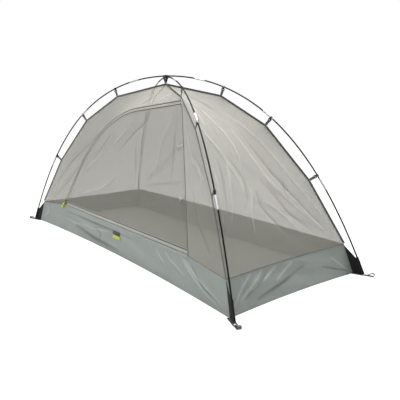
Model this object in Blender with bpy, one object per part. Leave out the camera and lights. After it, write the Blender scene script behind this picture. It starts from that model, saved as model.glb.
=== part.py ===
"""Mosquito net tent for one person: a bathtub pan, net panels with a D-shaped
zip door, and two crossed bent poles that carry the net on hooked straps.

Metres, +Z up. The origin lies on the ground under the middle of the floor. +X
runs along the long side, and the door is in the long side that faces -Y.
"""

import math

import bmesh
import bpy
import numpy as np
from mathutils import Matrix, Vector

# The whole tent
floor_length = 2.20
floor_width = 0.88
clearance = 0.0003
cut_overrun = 0.010

# Cloth thicknesses
floor_cloth = 0.0012
pan_cloth = 0.0010
net_cloth = 0.0008
gusset_cloth = 0.0012
webbing_cloth = 0.0012

# Bathtub pan: walls that lean in and are drawn in at the middle of each side
pan_height = 0.153
pan_corner_lean = 0.056
floor_side_bow = 0.045
floor_end_bow = 0.018
back_edge_bow = 0.030
back_edge_rise = 0.020
end_edge_bow = 0.016
pan_fold_depth = 0.005
pan_side_folds = 4
pan_end_folds = 2
pan_fold_slant = 1.2
pan_rows = 5
edge_stations = 8
hem_width = 0.012
hem_bulge = 0.0022
hem_rows = 5

# Poles: seven rods each, joined by ferrules, over an elastic cord
pole_apex = 1.053
rod_overhang = 0.041
rod_end_height = 0.040
pole_drop_shares = (0.614, 0.386)
rods_per_pole = 7
rod_radius = 0.0040
rod_bore_radius = 0.0021
longest_rod_step = 0.125
ferrule_radius = 0.0049
ferrule_length = 0.070
ferrule_fit = 0.00035
ferrule_chamfer = 0.0006
tip_plug_length = 0.020
arc_table_steps = 4000

# Pole tips and the grommets that they stand in
tip_collar_radius = 0.0043
tip_collar_length = 0.006
tip_neck_radius = 0.0022
tip_neck_length = 0.022
tip_ball_radius = 0.0026
tip_ground_gap = 0.0009
grommet_bore_radius = 0.0058
grommet_flange_radius = 0.0100
grommet_flange_height = 0.0008
round_sides = 16

# Net: a dome between the ridges, hung from the poles by straps
ridge_apex_drop = 0.053
strap_reach = 0.058
clip_shares = (0.241, 0.4424, 0.682)
ridge_tape_cloth = 0.0016
ridge_tape_outer = 0.010
ridge_tape_inner = 0.002
ridge_tape_end = 0.004
net_start = 0.014
net_rows_per_span = 4
net_side_columns = 8
net_fold_depth = 0.006
net_end_folds = 3

# Strap and hook of a clip. Heights are measured from the rod's axis
hook_inner_radius = 0.0056
hook_wall = 0.0022
hook_width = 0.012
hook_mouth_top_degrees = 78
hook_mouth_bottom_degrees = 292
hook_arc_steps = 9
hook_plate_width = 0.020
hook_plate_thickness = 0.0030
hook_plate_foot = 0.0205
hook_slot_foot = 0.0168
hook_slot_head = 0.0140
hook_slot_side_play = 0.0005
strap_width = 0.015
strap_ply = 0.0009
strap_loop_radius = 0.0033
strap_split = 0.011
loop_steps = 4

# Loop that ties the ridge to the poles' crossing
apex_strap_width = 0.026
apex_strap_ply = 0.0015
apex_loop_slack = 0.0035
apex_loop_foot = 0.0006

# Door plane: it leans in from the sill on the pan to the first ridge node
sill_height = 0.170
sill_inset = 0.055
seam_foot_x = 0.730
door_head_drop = 0.029
door_shoulder_x = -0.504
door_shoulder_rise = 0.670
door_toe_x = -0.747
shoulder_radius = 0.69
shoulder_steps = 11
leg_steps = 5
head_steps = 5

# Zip: coils, tapes and the tape that the door hinges on
coil_inner = 0.0006
coil_outer = 0.0034
coil_thickness = 0.0025
coil_end_gap = 0.0035
zip_tape_width = 0.012
zip_tape_thickness = 0.0012
zip_tape_lap = 0.0010
seam_tape_width = 0.005
seam_tape_setback = 0.0010
seam_tape_thickness = 0.0014

# Zip sliders and pulls
slider_length = 0.016
slider_half_width = 0.0053
slider_plate = 0.0014
slider_lip = 0.0013
slider_web = 0.0006
slider_rest_gap = 0.010
bail_length = 0.0082
bail_wall = 0.0014
bail_width = 0.0024
bail_clear_height = 0.0050
pull_strand = 0.0026
pull_inner_radius = 0.0018
pull_loop_length = 0.052
tab_length = 0.028
tab_width = 0.0080
tab_thickness = 0.0020
tab_eye_length = 0.0060
tab_eye_width = 0.0034

# Tie-backs on the door's hinge seam
tieback_shares = (0.324, 0.655)
tieback_width = 0.014
tieback_length = 0.034
tieback_ply = 0.0009
toggle_radius = 0.0026
toggle_length = 0.026
tieback_setback = 0.0030

# Corner gussets, webbing and peg loops
gusset_head_drop = 0.005
sleeve_head_height = 0.093
sleeve_radius = 0.0062
sleeve_bore_radius = 0.0049
gusset_foot_setback = 0.018
floor_corner_cut = 0.0086
webbing_width = 0.025
webbing_tail = 0.014
peg_loop_width = 0.020
peg_loop_length = 0.030
peg_loop_radius = 0.0075
peg_loop_root_radius = 0.0004
peg_loop_ply = 0.0012

# Plain sewn tag on the front of the pan
tag_centre_x = 0.022
tag_width = 0.086
tag_height = 0.046
tag_rise = 0.116
tag_thickness = 0.0010
tag_standoff = 0.0006

# Derived places
half_length = floor_length / 2
half_width = floor_width / 2
corner_reach = math.hypot(half_length, half_width)
diagonal_angle = math.atan2(half_width, half_length)
rod_reach = corner_reach + rod_overhang
pan_corner_reach = corner_reach - pan_corner_lean
pan_floor = floor_cloth + clearance
ridge_apex = pole_apex - ridge_apex_drop
zip_outer = coil_outer + zip_tape_width
zip_edge = zip_outer + clearance
ridge_side = ridge_tape_cloth / 2 + clearance
lower_apex = pole_apex - 2 * rod_radius - clearance
up = Vector((0, 0, 1))

tent = bpy.data.collections.new("mosquito_net_tent")
cutters = bpy.data.collections.new("cutters")


# Scene and materials


def clear_scene():
    for obj in list(bpy.data.objects):
        bpy.data.objects.remove(obj)
    bpy.context.scene.collection.children.link(tent)
    bpy.context.scene.collection.children.link(cutters)
    cutters.hide_render = True


def make_material(name, colour, roughness, metallic=0.0):
    material = bpy.data.materials.new(name)
    material.use_nodes = True
    shader = material.node_tree.nodes["Principled BSDF"]
    shader.inputs["Base Color"].default_value = (*colour, 1)
    shader.inputs["Roughness"].default_value = roughness
    shader.inputs["Metallic"].default_value = metallic
    return material


coated_cloth = make_material("coated_pan_cloth", (0.29, 0.32, 0.30), 0.5)
netting = make_material("netting", (0.42, 0.42, 0.38), 0.85)
dark_tape = make_material("dark_binding_tape", (0.12, 0.12, 0.11), 0.8)
zip_tape = make_material("zip_tape", (0.35, 0.35, 0.33), 0.8)
grey_webbing = make_material("grey_webbing", (0.20, 0.20, 0.19), 0.8)
black_cloth = make_material("black_gusset_cloth", (0.012, 0.012, 0.013), 0.7)
black_rod = make_material("black_fibreglass", (0.02, 0.02, 0.022), 0.35)
bright_metal = make_material("bright_ferrule_metal", (0.75, 0.75, 0.76), 0.25, 1.0)
black_plastic = make_material("black_plastic", (0.015, 0.015, 0.016), 0.4)
lime_cord = make_material("lime_cord", (0.55, 0.75, 0.05), 0.6)
pale_webbing = make_material("pale_webbing", (0.55, 0.55, 0.52), 0.8)
tag_cloth = make_material("tag_cloth", (0.05, 0.055, 0.06), 0.7)


# General shapes


def add(obj, material, collection=tent):
    """Puts an object in a collection and gives it its material."""
    collection.objects.link(obj)
    obj.data.materials.clear()
    obj.data.materials.append(material)
    if collection is cutters:
        obj.display_type = "WIRE"
        obj.hide_render = True
    return obj


def as_mesh(obj):
    """Replaces a curve by a mesh object with welded caps, in the same place."""
    graph = bpy.context.evaluated_depsgraph_get()
    name = obj.name
    material = obj.data.materials[0]
    collection = obj.users_collection[0]
    mesh = bpy.data.meshes.new_from_object(obj.evaluated_get(graph))
    place = obj.matrix_world.copy()
    bpy.data.objects.remove(obj)
    work = bmesh.new()
    work.from_mesh(mesh)
    bmesh.ops.remove_doubles(work, verts=work.verts, dist=clearance / 10)
    bmesh.ops.recalc_face_normals(work, faces=work.faces)
    work.to_mesh(mesh)
    work.free()
    made = bpy.data.objects.new(name, mesh)
    made.matrix_world = place
    return add(made, material, collection)


def spline_points(curve, points, closed):
    spline = curve.splines.new("POLY")
    spline.points.add(len(points) - 1)
    for point, place in zip(spline.points, points):
        point.co = (*place, 0, 1) if len(place) == 2 else (*place, 1)
    spline.use_cyclic_u = closed


def plate(name, outlines, thickness, place, material, collection=tent):
    """A flat piece: closed outlines in the XY plane of `place`, thick both ways along its Z."""
    curve = bpy.data.curves.new(name, "CURVE")
    curve.dimensions = "2D"
    curve.fill_mode = "BOTH"
    curve.extrude = thickness / 2
    for outline in outlines:
        spline_points(curve, outline, True)
    made = bpy.data.objects.new(name, curve)
    made.matrix_world = place
    add(made, material, collection)
    bpy.context.view_layer.update()
    return as_mesh(made)


def tube(name, path, radii, material, collection=tent):
    """A round rod along a polyline, with a radius at each of its points."""
    curve = bpy.data.curves.new(name, "CURVE")
    curve.dimensions = "3D"
    curve.twist_mode = "Z_UP"
    curve.bevel_depth = max(radii)
    curve.bevel_resolution = 2
    curve.use_fill_caps = True
    spline_points(curve, path, False)
    for point, radius in zip(curve.splines[0].points, radii):
        point.radius = radius / max(radii)
    made = bpy.data.objects.new(name, curve)
    add(made, material, collection)
    bpy.context.view_layer.update()
    made = as_mesh(made)
    made.data.shade_smooth()
    made.data.set_sharp_from_angle(angle=math.radians(50))
    return made


def disc(name, radius, low, high, place, material, collection=tent):
    """An upright cylinder round the origin of `place`."""
    mesh = bpy.data.meshes.new(name)
    work = bmesh.new()
    bmesh.ops.create_cone(
        work, cap_ends=True, segments=round_sides, radius1=radius, radius2=radius, depth=high - low
    )
    bmesh.ops.translate(work, vec=up * (low + high) / 2, verts=work.verts)
    work.to_mesh(mesh)
    work.free()
    made = bpy.data.objects.new(name, mesh)
    made.matrix_world = place
    return add(made, material, collection)


def boolean(obj, other, operation, solver="EXACT"):
    """Joins or cuts an object with another, which then only serves as its cutter."""
    change = obj.modifiers.new(other.name, "BOOLEAN")
    change.operation = operation
    change.solver = solver
    change.object = other
    other.hide_render = True
    other.display_type = "WIRE"
    if cutters not in list(other.users_collection):
        tent.objects.unlink(other)
        cutters.objects.link(other)


def box(name, low, high, place, material, collection=tent):
    """A box between two corners given in the frame of `place`."""
    mesh = bpy.data.meshes.new(name)
    work = bmesh.new()
    bmesh.ops.create_cube(work, size=1)
    middle = (Vector(low) + Vector(high)) / 2
    size = Vector(high) - Vector(low)
    bmesh.ops.transform(work, matrix=Matrix.LocRotScale(middle, None, size), verts=work.verts)
    work.to_mesh(mesh)
    work.free()
    made = bpy.data.objects.new(name, mesh)
    made.matrix_world = place
    return add(made, material, collection)


def frame_at(origin, x_axis, y_axis):
    """A placing matrix with the given X and Y axes, which are square to each other."""
    z_axis = x_axis.cross(y_axis)
    turn = Matrix((x_axis, y_axis, z_axis)).transposed()
    return Matrix.Translation(origin) @ turn.to_4x4()


def settle_origin(obj, origin):
    """Moves an object's origin to a point on its joint's axis and leaves its shape in place."""
    bpy.context.view_layer.update()
    world = obj.matrix_world.copy()
    obj.data.transform(Matrix.Translation(-origin) @ world)
    obj.matrix_world = Matrix.Translation(origin)


def belt(near_radius, far_radius, distance, steps=loop_steps):
    """Outline of a belt round two circles: one at the origin, one up +Y at a distance."""
    lean = math.asin((far_radius - near_radius) / distance)
    outline = []
    for centre, radius, start, end in (
        (distance, far_radius, -lean, math.pi + lean),
        (0, near_radius, math.pi + lean, 2 * math.pi - lean),
    ):
        for step in range(steps + 1):
            turn = start + (end - start) * step / steps
            outline.append((radius * math.cos(turn), centre + radius * math.sin(turn)))
    return outline


def arc_points(centre, radius, start_degrees, end_degrees, steps):
    turns = [
        math.radians(start_degrees + (end_degrees - start_degrees) * step / steps)
        for step in range(steps + 1)
    ]
    return [(centre[0] + radius * math.cos(t), centre[1] + radius * math.sin(t)) for t in turns]


# Cloth sheets


def harmonic(grid):
    """Fills the inside of a grid so that each point is the mean of its four neighbours."""
    rows, columns = grid.shape[:2]
    index = np.full((rows, columns), -1)
    count = (rows - 2) * (columns - 2)
    index[1:-1, 1:-1] = np.arange(count).reshape(rows - 2, columns - 2)
    weights = np.eye(count) * 4
    pull = np.zeros((count, 3))
    for row in range(1, rows - 1):
        for column in range(1, columns - 1):
            here = index[row, column]
            for near in ((row - 1, column), (row + 1, column), (row, column - 1), (row, column + 1)):
                if index[near] >= 0:
                    weights[here, index[near]] = -1
                else:
                    pull[here] += grid[near]
    grid[1:-1, 1:-1] = np.linalg.solve(weights, pull).reshape(rows - 2, columns - 2, 3)
    return grid


def unit(vectors):
    return vectors / np.linalg.norm(vectors, axis=-1, keepdims=True)


def grid_normals(grid):
    """Normals of a grid's points, away from the middle of the tent."""
    across = np.gradient(grid, axis=1)
    down = np.gradient(grid, axis=0)
    normals = unit(np.cross(across, down))
    outward = grid.mean(axis=(0, 1)) * np.array([1, 1, 0])
    if (normals.mean(axis=(0, 1)) * outward).sum() < 0:
        normals = -normals
    return normals


def flatten(normals, place, axis):
    """Turns the normals of one edge into the plane square to `axis`."""
    axis = np.array(axis)
    kept = normals[place] - (normals[place] @ axis)[..., None] * axis
    normals[place] = unit(kept)


def sheet(name, outer_grid, inner_grid, material):
    """A closed sheet between two grids of points, which share their rows and columns."""
    rows, columns = outer_grid.shape[:2]
    work = bmesh.new()
    outer = [[work.verts.new(point) for point in line] for line in outer_grid]
    inner = [[work.verts.new(point) for point in line] for line in inner_grid]
    for row in range(rows - 1):
        for column in range(columns - 1):
            corners = ((row, column), (row, column + 1), (row + 1, column + 1), (row + 1, column))
            a, b, c, d = (outer[i][j] for i, j in corners)
            work.faces.new((a, b, c))
            work.faces.new((a, c, d))
            a, b, c, d = (inner[i][j] for i, j in corners)
            work.faces.new((a, c, b))
            work.faces.new((a, d, c))
    rim = [(0, j) for j in range(columns)] + [(i, columns - 1) for i in range(1, rows)]
    rim += [(rows - 1, j) for j in range(columns - 2, -1, -1)]
    rim += [(i, 0) for i in range(rows - 2, 0, -1)]
    for (i, j), (k, m) in zip(rim, rim[1:] + rim[:1]):
        work.faces.new((outer[i][j], inner[i][j], inner[k][m], outer[k][m]))
    bmesh.ops.recalc_face_normals(work, faces=work.faces)
    mesh = bpy.data.meshes.new(name)
    work.to_mesh(mesh)
    work.free()
    return add(bpy.data.objects.new(name, mesh), material)


def spread(start, end, count):
    """Points evenly along a straight line, both ends included."""
    shares = np.linspace(0, 1, count + 1)[:, None]
    return np.array(start) * (1 - shares) + np.array(end) * shares


def along(points, counts):
    """Points along a polyline, with a count of steps for each of its spans."""
    lines = [spread(a, b, n)[:-1] for a, b, n in zip(points, points[1:], counts)]
    return np.concatenate(lines + [np.array(points[-1:])])


# Poles


class Pole:
    """One bent pole in a vertical plane through the middle of the floor."""

    def __init__(self, name, apex, direction):
        self.name = name
        self.apex = apex
        self.direction = direction
        self.reaches = np.linspace(0, rod_reach, arc_table_steps + 1)
        self.heights = np.array([self.height(reach) for reach in self.reaches])
        steps = np.hypot(np.diff(self.reaches), np.diff(self.heights))
        self.arcs = np.concatenate([[0], np.cumsum(steps)])
        self.half = self.arcs[-1]
        self.rod_length = 2 * self.half / rods_per_pole

    def height(self, reach):
        """The rod sags from the apex with even powers of the reach, as a strut bent by its ends."""
        share = reach / rod_reach
        drop = sum(part * share ** (2 * order) for order, part in enumerate(pole_drop_shares, 1))
        return self.apex - (self.apex - rod_end_height) * drop

    def slope(self, reach):
        share = reach / rod_reach
        rate = sum(
            part * 2 * order * share ** (2 * order - 1)
            for order, part in enumerate(pole_drop_shares, 1)
        )
        return -(self.apex - rod_end_height) * rate / rod_reach

    def at(self, arc):
        """(reach, height) at a length along the rod from the apex."""
        reach = math.copysign(float(np.interp(abs(arc), self.arcs, self.reaches)), arc)
        return reach, self.height(reach)

    def at_height(self, height):
        return float(np.interp(-height, -self.heights, self.reaches))

    def outward(self, reach):
        """The unit vector (along the reach, up) square to the rod, away from the tent."""
        slope = self.slope(reach)
        return -slope / math.hypot(1, slope), 1 / math.hypot(1, slope)

    def point(self, reach, height, aside=Vector((0, 0, 0))):
        return self.direction * reach + up * height + aside

    def joints(self):
        """Lengths along the pole where two rods meet."""
        return [self.rod_length * n - self.half for n in range(1, rods_per_pole)]

    def stations(self, start, end):
        """Lengths at which a rod bends: at ferrules, clips and the apex, and between them."""
        fixed = {0.0}
        for joint in self.joints():
            fixed |= {joint - ferrule_length / 2, joint, joint + ferrule_length / 2}
        for share in clip_shares:
            fixed |= {share * self.half, -share * self.half}
        fixed = [arc for arc in sorted(fixed) if start + clearance < arc < end - clearance]
        chosen = [start]
        for arc in fixed + [end]:
            first = chosen[-1]
            steps = math.ceil((arc - first) / longest_rod_step)
            chosen += [first + (arc - first) * step / steps for step in range(1, steps + 1)]
        return chosen

    def path(self, arcs):
        return [self.point(*self.at(arc)) for arc in arcs]


long_way = Vector((math.cos(diagonal_angle), math.sin(diagonal_angle), 0))
other_way = Vector((math.cos(diagonal_angle), -math.sin(diagonal_angle), 0))
upper_pole = Pole("upper_pole", pole_apex, long_way)
lower_pole = Pole("lower_pole", lower_apex, other_way)


class Arm:
    """Half of a pole, from the apex down to one corner of the tent."""

    def __init__(self, name, pole, sign):
        self.name = name
        self.pole = pole
        self.out = pole.direction * sign
        end_side = math.copysign(self.out.y, self.out.x)
        self.to_end = Vector((end_side, -math.copysign(self.out.x, self.out.y), 0))

    def place(self, reach, height, to_end=0):
        """A point in the arm's upright plane, or set aside from it towards the tent's end."""
        return self.out * reach + up * height + self.to_end * to_end

    def ridge(self):
        """(reach, height) of the ridge: the apex, the three clip nodes and the pan's corner."""
        points = [(0, ridge_apex)]
        for share in clip_shares:
            reach, height = self.pole.at(share * self.pole.half)
            along_reach, along_up = self.pole.outward(reach)
            points.append((reach - strap_reach * along_reach, height - strap_reach * along_up))
        return points + [(pan_corner_reach, pan_height)]


arms = {
    "left": Arm("left", upper_pole, -1),
    "right": Arm("right", upper_pole, 1),
    "front": Arm("front", lower_pole, 1),
    "rear": Arm("rear", lower_pole, -1),
}


def rod_tip(arm):
    """Points and radii of the metal tip, from the end of the rod down to the ground."""
    reach, height = arm.pole.at(arm.pole.half)
    outward_reach, outward_up = arm.pole.outward(reach)
    down = arm.out * outward_up - up * outward_reach
    length = (height - tip_ground_gap - tip_ball_radius * outward_up) / outward_reach
    profile = (
        (ferrule_chamfer, tip_collar_radius),
        (tip_collar_length, tip_collar_radius),
        (tip_collar_length + tip_collar_radius, tip_neck_radius),
        (tip_neck_length, tip_neck_radius),
        (tip_neck_length + tip_ball_radius, tip_ball_radius),
        (length - tip_ball_radius, tip_ball_radius),
        (length, tip_neck_radius / 2),
    )
    start = arm.place(reach, height)
    return [start + down * distance for distance, _ in profile], [radius for _, radius in profile]


def make_pole(pole, first_arm, last_arm):
    """Seven rods. Each but the last holds a ferrule, and the next rod's end stands in it."""
    half = ferrule_length / 2
    ends = [-pole.half] + pole.joints() + [pole.half]
    for number, (start, end) in enumerate(zip(ends, ends[1:]), 1):
        first, last = number == 1, number == rods_per_pole
        start += 0 if first else clearance / 2
        arcs = pole.stations(start, end if last else end - half)
        radii = [rod_radius] * len(arcs)
        if not last:
            sleeve = pole.stations(end - half + ferrule_chamfer, end + half)
            arcs += sleeve
            radii += [ferrule_radius] * len(sleeve)
        path = pole.path(arcs)
        if first:
            tip, tip_radii = rod_tip(first_arm)
            path, radii = tip[::-1] + path, tip_radii[::-1] + radii
        if last:
            tip, tip_radii = rod_tip(last_arm)
            path, radii = path + tip, radii + tip_radii
        name = f"{pole.name}_section_{number}"
        section = tube(name, path, radii, black_rod)
        bore_start = start + tip_plug_length if first else start - cut_overrun
        bore = pole.stations(bore_start, end - tip_plug_length if last else end)
        bore_radii = [rod_bore_radius] * len(bore)
        if not last:
            socket = pole.stations(end + clearance / 2, end + half + cut_overrun)
            bore += socket
            bore_radii += [rod_radius + ferrule_fit] * len(socket)
        hollow = tube(f"{name}_bore", pole.path(bore), bore_radii, black_rod, cutters)
        boolean(section, hollow, "DIFFERENCE")


def tip_ground_reach(arm):
    """Reach at which the line of the rod's end comes down to the ground."""
    reach, height = arm.pole.at(arm.pole.half)
    return reach - height / arm.pole.slope(reach)


# Floor and pan


def floor_edge(share, side):
    """A point of the floor's outline. `side` is front, rear, left or right, and share runs 0 to 1."""
    bulge = 1 - (2 * share - 1) ** 2
    if side in ("front", "rear"):
        x = (share - 0.5) * floor_length
        y = half_width - floor_side_bow * bulge
        return Vector((x, -y if side == "front" else y, 0))
    y = (share - 0.5) * floor_width
    x = half_length - floor_end_bow * bulge
    return Vector((-x if side == "left" else x, y, 0))


def corner_line(height):
    """Reach of the pan's corner, where two walls meet, at a height."""
    return corner_reach - pan_corner_lean * (height - pan_floor) / (pan_height - pan_floor)


def pan_corner(arm_name):
    return arms[arm_name].place(pan_corner_reach, pan_height)


def top_edge(side):
    """The pan's top edge as a polyline from its low to its high coordinate."""
    if side == "front":
        return [
            pan_corner("left"),
            door_point(zip_line(zip_edge, clearance)[1].x, 0, 0),
            door_point(seam_x(0) + seam_tape_right(), 0, 0),
            pan_corner("front"),
        ]
    low, high, bow, rise, inward = {
        "rear": ("rear", "right", back_edge_bow, back_edge_rise, Vector((0, -1, 0))),
        "left": ("left", "rear", end_edge_bow, 0, Vector((1, 0, 0))),
        "right": ("front", "right", end_edge_bow, 0, Vector((-1, 0, 0))),
    }[side]
    start, end = pan_corner(low), pan_corner(high)
    points = []
    for station in range(edge_stations + 1):
        share = station / edge_stations
        bulge = 1 - (2 * share - 1) ** 2
        points.append(start.lerp(end, share) + inward * bow * bulge + up * rise * bulge)
    return points


wall_steps = {"front": (6, 20, 6), "rear": (4,) * edge_stations, "left": (2,) * edge_stations}
wall_steps["right"] = wall_steps["left"]
wall_corners = {
    "front": ("left", "front"),
    "rear": ("rear", "right"),
    "left": ("left", "rear"),
    "right": ("front", "right"),
}


outward = {
    "front": Vector((0, -1, 0)),
    "rear": Vector((0, 1, 0)),
    "left": Vector((-1, 0, 0)),
    "right": Vector((1, 0, 0)),
}


def wall_grid(side):
    """Outer surface of one pan wall, from its foot to its top edge, with its soft folds."""
    top = along(top_edge(side), wall_steps[side])
    columns = len(top)
    axis = 0 if side in ("front", "rear") else 1
    shares = (top[:, axis] - top[0][axis]) / (top[-1][axis] - top[0][axis])
    foot = np.array([floor_edge(share, side) + up * pan_floor for share in shares])
    grid_rises = list(np.linspace(0, 1, pan_rows + 1))
    hem_turns = [math.pi * step / hem_rows for step in range(hem_rows + 1)]
    if side == "front":
        hem_share = hem_width / (sill_height - pan_floor)
        grid_rises = grid_rises[:-1]
        grid_rises += [1 - hem_share * (1 + math.cos(turn)) / 2 for turn in hem_turns]
    rises = np.array(grid_rises)[:, None, None]
    grid = foot[None] * (1 - rises) + top[None] * rises
    folds = pan_side_folds if axis == 0 else pan_end_folds
    for row, rise in enumerate(grid_rises[1:-1], 1):
        for column in range(1, columns - 1):
            share = shares[column]
            wave = math.sin(2 * math.pi * (folds * share + pan_fold_slant * rise))
            depth = pan_fold_depth * wave * math.sin(math.pi * rise) * math.sin(math.pi * share)
            grid[row, column] += np.array(outward[side] * depth)
    return grid, hem_turns


def make_pan():
    outline = []
    cuts = {
        "front": floor_corner_cut / math.cos(diagonal_angle),
        "right": floor_corner_cut / math.sin(diagonal_angle),
    }
    for side, backwards in (("front", False), ("right", False), ("rear", True), ("left", True)):
        shares = np.linspace(0, 1, 2 * edge_stations + 1)
        edge = [floor_edge(share, side).xy for share in shares]
        edge = edge[::-1] if backwards else edge
        corner_cut = cuts["front" if side in ("front", "rear") else "right"]
        edge[0] = edge[0] + (edge[1] - edge[0]).normalized() * corner_cut
        edge[-1] = edge[-1] + (edge[-2] - edge[-1]).normalized() * corner_cut
        outline += edge
    place = Matrix.Translation(up * floor_cloth / 2)
    plate("floor_sheet", [outline], floor_cloth, place, coated_cloth)
    for side in wall_corners:
        grid, hem_turns = wall_grid(side)
        low, high = (arms[name] for name in wall_corners[side])
        toward = -1 if side in ("front", "rear") else 1
        grid[:, 0] += np.array(low.to_end) * toward * clearance / 2
        grid[:, -1] += np.array(high.to_end) * toward * clearance / 2
        normals = grid_normals(grid)
        flatten(normals, np.s_[0], up)
        flatten(normals, np.s_[-1], up)
        flatten(normals, np.s_[:, 0], low.to_end)
        flatten(normals, np.s_[:, -1], high.to_end)
        inner = grid - normals * pan_cloth
        if side == "front":
            first, last = wall_steps[side][0], sum(wall_steps[side][:2])
            for row, turn in enumerate(hem_turns, len(grid) - len(hem_turns)):
                bulge = outward[side] * hem_bulge * math.sin(turn)
                grid[row, first : last + 1] += np.array(bulge)
        sheet(f"pan_wall_{side}", grid, inner, coated_cloth)


# Door plane


front_node = arms["front"].ridge()[1]
node_place = arms["front"].place(*front_node)
sill_middle = Vector((0, -(half_width - sill_inset), sill_height))
door_up = Vector((0, node_place.y - sill_middle.y, node_place.z - sill_middle.z)).normalized()
door_side = Vector((1, 0, 0))
door_out = door_side.cross(door_up)
door_place = frame_at(sill_middle, door_side, door_up)
node_rise = (node_place - sill_middle).dot(door_up)
seam_head = Vector((node_place.x, node_rise))
seam_foot = Vector((seam_foot_x, 0))
seam_down = (seam_foot - seam_head).normalized()
seam_to_door = Vector((seam_down.y, -seam_down.x))


def door_point(x, rise, out):
    return sill_middle + door_side * x + door_up * rise + door_out * out


def seam_x(rise):
    """x of the door's hinge axis at a height up the door plane."""
    return seam_head.x + (seam_head.y - rise) * seam_down.x / -seam_down.y


def seam_tape_right():
    """How far right of the hinge axis the net beyond the seam tape starts."""
    return (seam_tape_setback + seam_tape_width + clearance) / abs(seam_to_door.x)


def crossing(point, way, other, other_way):
    """Where two lines of the door plane cross."""
    determinant = way.x * -other_way.y + other_way.x * way.y
    gap = other - point
    share = (gap.x * -other_way.y + other_way.x * gap.y) / determinant
    return point + way * share


def fillet(before, corner, after, radius, steps):
    """Points of an arc that rounds a corner."""
    first = (before - corner).normalized()
    second = (after - corner).normalized()
    half = first.angle(second) / 2
    middle = corner + (first + second).normalized() * radius / math.sin(half)
    start = corner + first * radius / math.tan(half) - middle
    turn = math.pi - 2 * half
    sense = 1 if first.x * second.y - first.y * second.x < 0 else -1
    points = []
    for step in range(steps + 1):
        angle = sense * turn * step / steps
        cosine, sine = math.cos(angle), math.sin(angle)
        points.append(
            middle
            + Vector((start.x * cosine - start.y * sine, start.x * sine + start.y * cosine))
        )
    return points


zip_rise = zip_edge + clearance
toe = Vector((door_toe_x, zip_rise))
shoulder = Vector((door_shoulder_x, door_shoulder_rise))
head_end = seam_head + seam_down * door_head_drop
leg_way = (shoulder - toe).normalized()
head_way = (head_end - shoulder).normalized()


def zip_line(offset, seam_gap):
    """The zip's path moved outwards by an offset: seam's foot, toe, rounded shoulder, seam's head."""
    low_point = Vector((0, zip_rise - offset))
    leg_point = toe + Vector((-leg_way.y, leg_way.x)) * offset
    head_point = shoulder + Vector((-head_way.y, head_way.x)) * offset
    seam_point = seam_head + seam_to_door * seam_gap
    level = Vector((1, 0))
    first = crossing(low_point, level, seam_point, seam_down)
    low_corner = crossing(low_point, level, leg_point, leg_way)
    high_corner = crossing(leg_point, leg_way, head_point, head_way)
    last = crossing(head_point, head_way, seam_point, seam_down)
    arc = fillet(low_corner, high_corner, last, shoulder_radius + offset, shoulder_steps)
    return [first, low_corner] + arc + [last]


def zip_band(inner, outer, seam_gap):
    return [zip_line(outer, seam_gap) + zip_line(inner, seam_gap)[::-1]]


def zip_half(name, side, seam_gap):
    """One tape of the zip with its coil. `side` is 1 on the tent and -1 on the door."""
    coil = zip_band(side * coil_inner, side * coil_outer, coil_end_gap)
    tape = zip_band(side * (coil_outer - zip_tape_lap), side * zip_outer, seam_gap)
    half = plate(name, tape, zip_tape_thickness, door_place, zip_tape)
    chain = plate(f"{name}_coil", coil, coil_thickness, door_place, black_plastic, cutters)
    boolean(half, chain, "UNION")
    return half


def make_door():
    """The door's net and its half of the zip turn together on the seam's axis."""
    zip_half("zip_frame_side", 1, coil_end_gap)
    net = [zip_line(-zip_edge, clearance)]
    for obj in (
        zip_half("zip_door_side", -1, clearance),
        plate("door_net", net, net_cloth, door_place, netting),
    ):
        settle_origin(obj, node_place)


# Net panels


def ridge_points(arm, toward_end, start=0, counts=(net_rows_per_span,) * 4):
    """Points down a ridge from a distance `start`, beside the ridge tape on one of its sides."""
    aside = ridge_side if toward_end else -ridge_side
    line = [Vector(point) for point in arm.ridge()]
    line[0] = line[0] + (line[1] - line[0]).normalized() * start
    return along([arm.place(*point, aside) for point in line], counts)


def panel(name, low, high, side):
    """A whole net panel between two ridges and the pan's top edge."""
    toward_end = side in ("left", "right")
    first = ridge_points(low, toward_end, net_start)
    last = ridge_points(high, toward_end, net_start)
    bottom = along(top_edge(side), (1,) * edge_stations) + np.array(up * clearance)
    rows, columns = len(first), len(bottom)
    grid = np.zeros((rows, columns, 3))
    grid[0] = spread(first[0], last[0], columns - 1)
    grid[-1] = bottom
    grid[:, 0] = first
    grid[:, -1] = last
    grid[-1, [0, -1]] += np.array(up * clearance)
    grid = harmonic(grid)
    if toward_end:
        for row in range(1, rows - 1):
            for column in range(1, columns - 1):
                rise, share = row / (rows - 1), column / (columns - 1)
                wave = math.sin(2 * math.pi * (net_end_folds * share + rise))
                depth = net_fold_depth * wave * math.sin(math.pi * rise) * math.sin(math.pi * share)
                grid[row, column] += np.array(outward[side] * depth)
    normals = grid_normals(grid)
    flatten(normals, np.s_[-1], up)
    flatten(normals, np.s_[:, 0], low.to_end)
    flatten(normals, np.s_[:, -1], high.to_end)
    sheet(name, grid, grid - normals * net_cloth, netting)


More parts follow.
